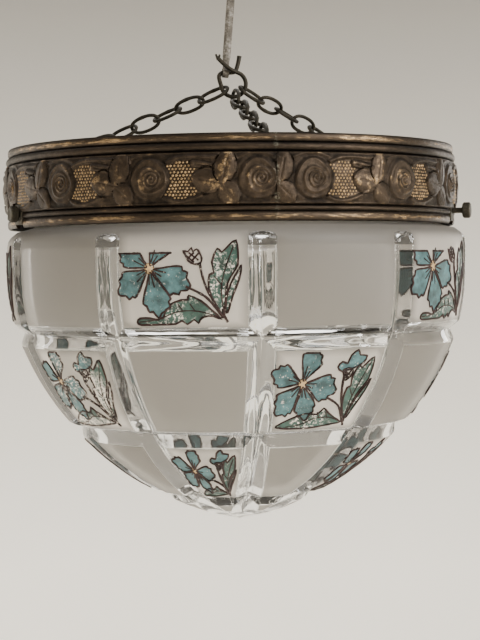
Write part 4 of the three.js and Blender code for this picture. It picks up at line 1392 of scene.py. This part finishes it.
def motif_for(column, row):
    """The petals, leaves, outlines, lines and centre of one panel, turned a little its own way."""
    random = np.random.default_rng(SEED * 100 + column * 3 + row)
    turn = random.uniform(-9, 9)
    petals = [smooth_outline(petal_outline(angle + turn + random.uniform(-4, 4),
                                           length * random.uniform(0.94, 1.04)))
              for angle, length in PETALS]
    top = CLIPPED_TOP if row == 0 else FULL_TOP
    petals = [[(x, min(y, top)) for x, y in petal] for petal in petals]
    bud, hatches, low_leaf = BUD, BUD_HATCH, LOW_LEAF
    if row > 0:
        bud, hatches, low_leaf = CALYX, CALYX_HATCH, LONG_LEAF
        petals.append(smooth_outline(BLOOM, 2))
    leaves = [smooth_outline(leaf, 2) for leaf in (low_leaf, TALL_LEAF, BLADE)]
    outlines = petals + leaves + [smooth_outline(bud, 2)]
    lines = [(arc_line(stem, 6), 1.25) for stem in STEMS]
    lines += [(arc_line(rib, 5), 0.6) for rib in LEAF_RIBS]
    lines += [(list(hatch), 0.95) for hatch in hatches]
    for (angle, _), lean in itertools.product(PETALS, (-10, 8)):
        way = math.radians(angle + turn + lean)
        lines.append(([on_circle(FLOWER, t, way) for t in (0.07, 0.13, 0.19 + lean * 0.002)], 0.7))
    centre = [on_circle(FLOWER, CENTRE_RADIUS, way) for way in np.linspace(0, 2 * math.pi, 15)[:-1]]
    lines.append((centre + centre[:1], 0.6))
    return petals, leaves, outlines, lines, centre


class PENDANT_OT_enamel(bpy.types.Operator):
    """Paints a flower with its leaves on every second panel"""
    bl_idname = "pendant.enamel"
    bl_label = "Painted Flowers"

    def execute(self, context):
        petals, leaves, centres, paths, worn = [], [], [], [], []
        for column, row in painted_panels():
            flower, green, outlines, lines, centre = motif_for(column, row)
            petals += [(column, row, outline) for outline in flower]
            leaves += [(column, row, outline) for outline in green]
            centres.append((column, row, centre))
            random = np.random.default_rng(SEED + column * 11 + row)
            drawn = [(outline, True, 1, (0.75, 1.2)) for outline in outlines]
            drawn += [(line, False, thick, (0.8, 1.1)) for line, thick in lines]
            for points, closed, thick, spread in drawn:
                path = [on_panel(column, row, x, y, LINE_RISE) for x, y in points]
                paths.append((path, closed, thick * random.uniform(*spread, len(path))))
                worn += [panel_wear(column, row)] * len(path)
        patch_piece("painted_petals", petals, finish("petal"), 0.16 * MM)
        patch_piece("painted_leaves", leaves, finish("leaf"), 0.14 * MM)
        patch_piece("flower_centres", centres, finish("centre"), 0.5 * MM)
        piece = path_piece("painted_lines", paths)
        add_attribute(piece, "worn", worn)
        lines = settle(piece, wire_tree(), {
            "Wire Radius": context.scene.pendant_sizes.line, "Sides": LINE_SIDES,
            "Material": finish("line")})
        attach(lines, BODY)
        return {"FINISHED"}


# Chains, ring and eyes

WIRE_SIDES = 12
LINK_POINTS = 44
LINK_SQUARENESS = 0.86
WELD_SWELL = 0.16
WELD_LENGTH = 0.12
UP = np.array([0, 0, 1.0])


def node_points(node):
    """A CAD node's points."""
    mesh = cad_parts[node].data
    points = np.empty(len(mesh.vertices) * 3)
    mesh.vertices.foreach_get("co", points)
    return np.unique(points.reshape(-1, 3).round(7), axis=0)


def solid_axis(node):
    """The inner end, outward direction and length of a solid that points away from the axis."""
    points = node_points(node)
    out = np.array([points[:, 0].mean() - BAND_X, points[:, 1].mean(), 0])
    out /= np.linalg.norm(out)
    centre = np.array([BAND_X, 0, (points[:, 2].max() + points[:, 2].min()) / 2])
    reach = (points - centre) @ out
    return centre + out * reach.min(), out, reach.max() - reach.min()


def link_path(node, wire):
    """The closed middle line of a link, from its CAD solid's own axes, with a weld on one side."""
    points = node_points(node)
    centre = points.mean(axis=0)
    _, _, axes = np.linalg.svd(points - centre)
    half, wide = (abs((points - centre) @ axis).max() - wire for axis in axes[:2])
    path, thick = [], []
    for t in np.linspace(0, 2 * math.pi, LINK_POINTS, endpoint=False):
        cos, sin = (math.copysign(abs(v) ** LINK_SQUARENESS, v) for v in (math.cos(t), math.sin(t)))
        path.append(centre + axes[0] * half * cos + axes[1] * wide * sin)
        thick.append(1 + WELD_SWELL * math.exp(-((t - math.pi / 2) / WELD_LENGTH) ** 2))
    return path, True, thick


def chain_nodes():
    """Names of every chain link's node."""
    return sorted(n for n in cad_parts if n.startswith("chain_") and "link" in n)


def eye_nodes():
    """Names of the chain eyes' nodes."""
    return sorted(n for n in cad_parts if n.startswith("chain_eye"))


class PENDANT_OT_chains(bpy.types.Operator):
    """Bends the chain links from round wire"""
    bl_idname = "pendant.chains"
    bl_label = "Chains"

    def execute(self, context):
        wire = context.scene.pendant_sizes.link_wire
        nodes = chain_nodes()
        if not nodes:
            raise RuntimeError("the frame holds no chain links")
        paths = [link_path(node, wire) for node in nodes]
        links = settle(path_piece("chain_links", paths), wire_tree(), {
            "Wire Radius": wire, "Sides": WIRE_SIDES, "Material": finish("iron")})
        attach(links, BODY)
        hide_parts(*nodes)
        return {"FINISHED"}


class PENDANT_OT_eyes(bpy.types.Operator):
    """Bends the three chain eyes with their stems"""
    bl_idname = "pendant.eyes"
    bl_label = "Chain Eyes"

    def execute(self, context):
        wire = context.scene.pendant_sizes.link_wire
        paths = []
        for node in eye_nodes():
            start, out, length = solid_axis(node)
            heights = node_points(node)[:, 2]
            loop = (heights.max() - heights.min()) / 2 - wire
            middle = start + out * (wire + loop)
            turns = np.linspace(0, 2 * math.pi, 41)[1:-1]
            path = [middle + loop * (out * math.cos(t) + UP * math.sin(t)) for t in turns]
            paths.append((path, True, [1] * len(path)))
            stem = [middle + out * d for d in np.linspace(loop, length - wire - loop, 6)]
            paths.append((stem, False, [1] * len(stem)))
        eyes = settle(path_piece("chain_eyes", paths), wire_tree(), {
            "Wire Radius": wire, "Sides": WIRE_SIDES, "Material": finish("iron")})
        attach(eyes, BODY)
        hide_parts(*eye_nodes())
        return {"FINISHED"}


# Gathering ring, in millimetres from its centre

RING_DROP = 66
RING_RADIUS = 8
RING_LAYER = 4.2
RING_SIDES = 14


def ring_route():
    """The wire's route: the right prong, over the strap's roll, round, and the left prong."""
    top = RING_RADIUS
    points = [(4.6, 0.6, top + 11), (3.4, 0.4, top + 5.5), (1.61, 0.1, top + 0.93), (-1.5, 0, top),
              (-5, 0, top), (-7.2, 0, top - 0.1), (-9, -0.1, top - 1.6), (-9.29, -0.2, top / 2)]
    for step in range(11):
        angle = math.radians(-85 + 25 * step)
        points.append((RING_RADIUS * math.sin(angle), -RING_LAYER * step / 10,
                       -RING_RADIUS * math.cos(angle)))
    points += [(-2.53, -RING_LAYER - 1, top + 1.6), (-7.04, -RING_LAYER - 1.8, top + 4.95),
               (-10.4, -RING_LAYER - 2.3, top + 8.0)]
    return [(x * MM, y * MM, (z - RING_DROP) * MM) for x, y, z in points]


class PENDANT_OT_ring(bpy.types.Operator):
    """Winds the gathering ring, with its cut end and its forked end"""
    bl_idname = "pendant.ring"
    bl_label = "Gathering Ring"

    def execute(self, context):
        wire = context.scene.pendant_sizes.ring_wire
        route = arc_line(ring_route(), 6)
        thick = [1 + 0.12 * math.exp(-i / 5) for i in range(len(route))]
        end = np.array(route[-1])
        tines = []
        for lean, reach in ((-1.2, 3.2), (1.5, 3.0)):
            tine = [end + np.array(step) * MM for step in (
                (-0.5, 0, -0.4), (lean * 0.5 - 0.6, 0, 1.2), (lean - 0.9, -0.2, reach))]
            tines.append((arc_line(tine, 4), False, np.linspace(0.8, 0.42, 9)))
        ring = settle(path_piece("bent_ring", [(route, False, thick)] + tines), wire_tree(), {
            "Wire Radius": wire, "Sides": RING_SIDES, "Material": finish("iron")})
        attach(ring, "ring")
        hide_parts("gathering_ring")
        return {"FINISHED"}


# Plain iron and brass pieces, softened from their solids

class PENDANT_OT_fittings(bpy.types.Operator):
    """Rounds the edges of the strap, brackets, rivets, tips, hoop and seam strip"""
    bl_idname = "pendant.fittings"
    bl_label = "Fittings"

    def execute(self, context):
        # Node, rounding in millimetres, finish, slot and body
        rows = [("hanger_strap", 0.25, "strap", "strap_steel", "hanger"),
                ("seam_strip", 0.15, "gallery", "seam_brass", BODY),
                ("inner_hoop", 0.3, "iron", "hoop_iron", BODY)]
        for i in (1, 2, 3):
            rows.append((f"screw_bracket_{i}", 0.5, "iron_light", "bracket_iron", BODY))
            rows.append((f"bracket_rivet_{i}", 0.3, "iron", "rivet_iron", BODY))
            rows.append((f"screw_tip_{i}", 0.3, "fibre", "tip_fibre", f"tip_{i}"))
        for node, width, key, slot, body in rows:
            piece = softened(node, width * MM, finish(key), f"soft_{node}")
            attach(piece, body)
            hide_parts(node)
        return {"FINISHED"}


# Thumb screws

HEAD_RADIUS = 4.75 * MM
HEAD_LENGTH = 5 * MM
HEAD_ROUNDING = 0.6 * MM
SHANK_RADIUS = 1.95 * MM
SHANK_BORE = 0.3 * MM
THREAD_PITCH = 0.7 * MM
THREAD_DEPTH = 0.34 * MM
THREAD_ROWS = 110
SCREW_SIDES = 40
KNURL_RADIUS = 0.3 * MM
KNURL_LENGTH = HEAD_LENGTH - 1.3 * MM


def screw_outline(shank):
    """Radius, distance along the screw and whether it is threaded, from tip to head."""
    end = shank + HEAD_LENGTH
    outline = [(SHANK_BORE, 0, False), (SHANK_RADIUS * 0.8, 0, False),
               (SHANK_RADIUS * 0.95, 0.3 * MM, False)]
    outline += [(SHANK_RADIUS, z, True) for z in np.linspace(0.4 * MM, shank - 1 * MM, THREAD_ROWS)]
    return outline + [
        (SHANK_RADIUS, shank - 0.4 * MM, False), (SHANK_RADIUS * 1.15, shank, False),
        (HEAD_RADIUS * 0.86, shank, False), (HEAD_RADIUS, shank + HEAD_ROUNDING, False),
        (HEAD_RADIUS, end - HEAD_ROUNDING, False), (HEAD_RADIUS * 0.88, end, False),
        (HEAD_RADIUS * 0.55, end - 0.25 * MM, False), (SHANK_BORE, end - 0.3 * MM, False)]


def turned_screw(name, start, out, shank):
    """A closed screw with its thread, turned about its axis."""
    side = np.cross(UP, out)
    turns = np.linspace(0, 2 * math.pi, SCREW_SIDES, endpoint=False)
    outline = screw_outline(shank)
    vertices = []
    for radius, along, threaded in outline:
        for t in turns:
            wave = math.cos(2 * math.pi * along / THREAD_PITCH - t)
            r = radius - THREAD_DEPTH * (1 - wave) / 2 * threaded
            vertices.append(start + out * along + r * (side * math.cos(t) + UP * math.sin(t)))
    last = len(vertices) - SCREW_SIDES
    faces = ring_faces(len(outline), SCREW_SIDES)
    faces.append(tuple(range(SCREW_SIDES)))
    faces.append(tuple(last + k for k in reversed(range(SCREW_SIDES))))
    screw = mesh_piece(name, vertices, faces, [finish("iron_light")], 38)
    outward(screw)
    return screw


class PENDANT_OT_screws(bpy.types.Operator):
    """Turns the thumb screws with threads and knurled heads"""
    bl_idname = "pendant.screws"
    bl_label = "Thumb Screws"

    def execute(self, context):
        turns = np.linspace(0, 2 * math.pi, context.scene.pendant_sizes.knurls, endpoint=False)
        for i in (1, 2, 3):
            start, out, length = solid_axis(f"thumb_screw_{i}")
            shank = length - HEAD_LENGTH
            screw = turned_screw(f"turned_screw_{i}", start, out, shank)
            middle, side = start + out * (shank + HEAD_LENGTH / 2), np.cross(UP, out)
            spots = [tuple(middle + HEAD_RADIUS * (side * math.cos(t) + UP * math.sin(t)))
                     for t in turns]
            points = point_piece(f"screw_knurls_{i}", spots, [tuple(out)] * len(spots))
            knurl = settle(points, knurl_tree(), {
                "Ridge Radius": KNURL_RADIUS, "Ridge Length": KNURL_LENGTH,
                "Material": finish("iron_light")})
            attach(screw, f"screw_{i}")
            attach(knurl, f"screw_{i}")
            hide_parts(f"thumb_screw_{i}")
        return {"FINISHED"}


# Stage: floor and curved backdrop, lights and camera

STAGE_FLOOR = -2.2
STAGE_RADIUS = 3.5
STAGE_BEND = 1.0
STAGE_TOP = 2.6
# Heights between which painted shade darkens the wall towards its top
STAGE_SHADE_HEIGHTS = (-1.0, 0.7)
STAGE_SIDES = 96
# Glow of the backdrop's paint, which lights the pendant though the backdrop is no lamp
STAGE_GLOW = 0.75
LIGHT_DISTANCE = 2.2
LIGHT_TARGET = BAND_FOOT - 40 * MM
# Name, azimuth and elevation in degrees, width and height in metres, power in watts, colour
LIGHTS = (
    ("window_light", 35, 20, 1.0, 1.0, 30, (1.0, 0.98, 0.95)),
    ("window_strip", 56, 8, 0.14, 0.8, 14, (1.0, 0.98, 0.95)),
    ("left_strip", -127, 4, 0.2, 1.0, 4, (1.0, 0.98, 0.96)),
    ("right_strip", 129, 4, 0.2, 1.0, 5, (1.0, 0.98, 0.96)),
    ("back_light", 170, 40, 1.2, 1.2, 16, (1.0, 0.98, 0.96)),
)
ROOM_COLOUR = (0.96, 0.95, 0.93, 1)
ROOM_STRENGTH = 1.35


def stage_material():
    """Pale paint with a faint glow, though it is no lamp, and painted shade darkening it towards
    the top of the wall.
    """
    material, tree, shader = new_material("stage_paint", roughness=0.9,
                                          Emission_Strength=STAGE_GLOW)
    grain = place_group(tree, grain_group(), Fine_Scale=8.0, Coarse_Scale=1.2)
    tone = mixed(tree, grain.outputs["Mottle"], (0.81, 0.775, 0.70), (0.845, 0.81, 0.735))
    height = add_node(tree, "ShaderNodeSeparateXYZ", Vector=object_place(tree)).outputs["Z"]
    # Painted shade: the paint darkens towards the top of the wall.
    paint = mixed(tree, ranged(tree, height, *STAGE_SHADE_HEIGHTS), tone, (0.20, 0.186, 0.162))
    feed(tree, shader, paint)
    # The shaded paint also glows, lighting the pendant though the backdrop is no lamp.
    tree.links.new(paint, shader.inputs["Emission Color"])
    return material


def backdrop():
    """A round pale floor that curves up into a wall, the same from every side."""
    flat = STAGE_RADIUS - STAGE_BEND
    outline = [(r, STAGE_FLOOR) for r in (0.02, 1.0, 2.0, flat)]
    outline += [(flat + STAGE_BEND * math.sin(t), STAGE_FLOOR + STAGE_BEND * (1 - math.cos(t)))
                for t in np.linspace(0.1, math.pi / 2, 12)]
    outline += [(STAGE_RADIUS, z) for z in (0.0, 1.0, 2.0, STAGE_TOP)]
    turns = np.linspace(0, 2 * math.pi, STAGE_SIDES, endpoint=False)
    vertices = [(r * math.sin(t), -r * math.cos(t), z) for r, z in outline for t in turns]
    faces = ring_faces(len(outline), STAGE_SIDES)
    faces.append(tuple(reversed(range(STAGE_SIDES))))
    return mesh_piece("pale_backdrop", vertices, faces, [stage_material()])


def area_light(name, azimuth, elevation, wide, high, power, colour):
    """A soft light that faces the lamp and stays out of the picture."""
    light = bpy.data.lights.new(name, "AREA")
    light.shape = "RECTANGLE"
    light.size = wide
    light.size_y = high
    light.energy = power
    light.color = colour
    lamp = link_object(name, light)
    turn, lift = math.radians(azimuth), math.radians(elevation)
    level = math.cos(lift)
    way = Vector((math.sin(turn) * level, -math.cos(turn) * level, math.sin(lift)))
    lamp.location = Vector((0, 0, LIGHT_TARGET)) + way * LIGHT_DISTANCE
    lamp.rotation_euler = (-way).to_track_quat("-Z", "Y").to_euler()
    lamp.visible_camera = False


class PENDANT_OT_stage(bpy.types.Operator):
    """Sets the pale floor, soft lights and the photograph's camera"""
    bl_idname = "pendant.stage"
    bl_label = "Stage"

    def execute(self, context):
        scene = context.scene
        backdrop()
        world = bpy.data.worlds.new("soft_room")
        world.use_nodes = True
        background = world.node_tree.nodes["Background"]
        background.inputs["Color"].default_value = ROOM_COLOUR
        background.inputs["Strength"].default_value = ROOM_STRENGTH
        scene.world = world
        for light in LIGHTS:
            area_light(*light)
        camera_data = bpy.data.cameras.new("photo_camera")
        camera_data.sensor_fit = "AUTO"
        camera_data.sensor_width = SENSOR_WIDTH
        camera_data.lens = SENSOR_WIDTH * PHOTO_FOCAL / PHOTO_HEIGHT
        camera = link_object("photo_camera", camera_data)
        turn = math.radians(CAMERA_AZIMUTH)
        place = Vector((math.sin(turn) * CAMERA_DISTANCE, -math.cos(turn) * CAMERA_DISTANCE,
                        BAND_FOOT - CAMERA_BELOW_BAND))
        heading = Matrix.Rotation(turn - math.radians(CAMERA_YAW), 4, "Z")
        tilt = Matrix.Rotation(math.radians(90 + CAMERA_PITCH), 4, "X")
        roll = Matrix.Rotation(math.radians(-CAMERA_ROLL), 4, "Z")
        camera.matrix_world = Matrix.Translation(place) @ heading @ tilt @ roll
        scene.camera = camera
        return {"FINISHED"}


STEPS = ("stage", "gallery", "bowl", "enamel", "chains", "eyes", "ring", "fittings", "screws")


class PENDANT_PT_sidebar(bpy.types.Panel):
    """Lists the pendant's pieces"""
    bl_label = "Glass Bowl Pendant"
    bl_idname = "PENDANT_PT_sidebar"
    bl_space_type = "VIEW_3D"
    bl_region_type = "UI"
    bl_category = "Pendant"

    def draw(self, context):
        column = self.layout.column(align=True)
        for group in (context.scene.pendant_sizes, context.scene.pendant_colours):
            for key in group.bl_rna.properties.keys():
                if key not in ("rna_type", "name"):
                    column.prop(group, key)
        for step in STEPS:
            column.operator(f"pendant.{step}")


CLASSES = (
    PendantSizes, PendantColours, PENDANT_OT_gallery, PENDANT_OT_bowl, PENDANT_OT_enamel,
    PENDANT_OT_chains, PENDANT_OT_eyes, PENDANT_OT_ring, PENDANT_OT_fittings,
    PENDANT_OT_screws, PENDANT_OT_stage, PENDANT_PT_sidebar,
)


def register():
    for cls in CLASSES:
        bpy.utils.register_class(cls)
    bpy.types.Scene.pendant_sizes = PointerProperty(type=PendantSizes)
    bpy.types.Scene.pendant_colours = PointerProperty(type=PendantColours)


def unregister():
    del bpy.types.Scene.pendant_colours
    del bpy.types.Scene.pendant_sizes
    for cls in reversed(CLASSES):
        bpy.utils.unregister_class(cls)


def main():
    register()
    for step in STEPS:
        getattr(bpy.ops.pendant, step)()


if __name__ == "__main__":
    main()
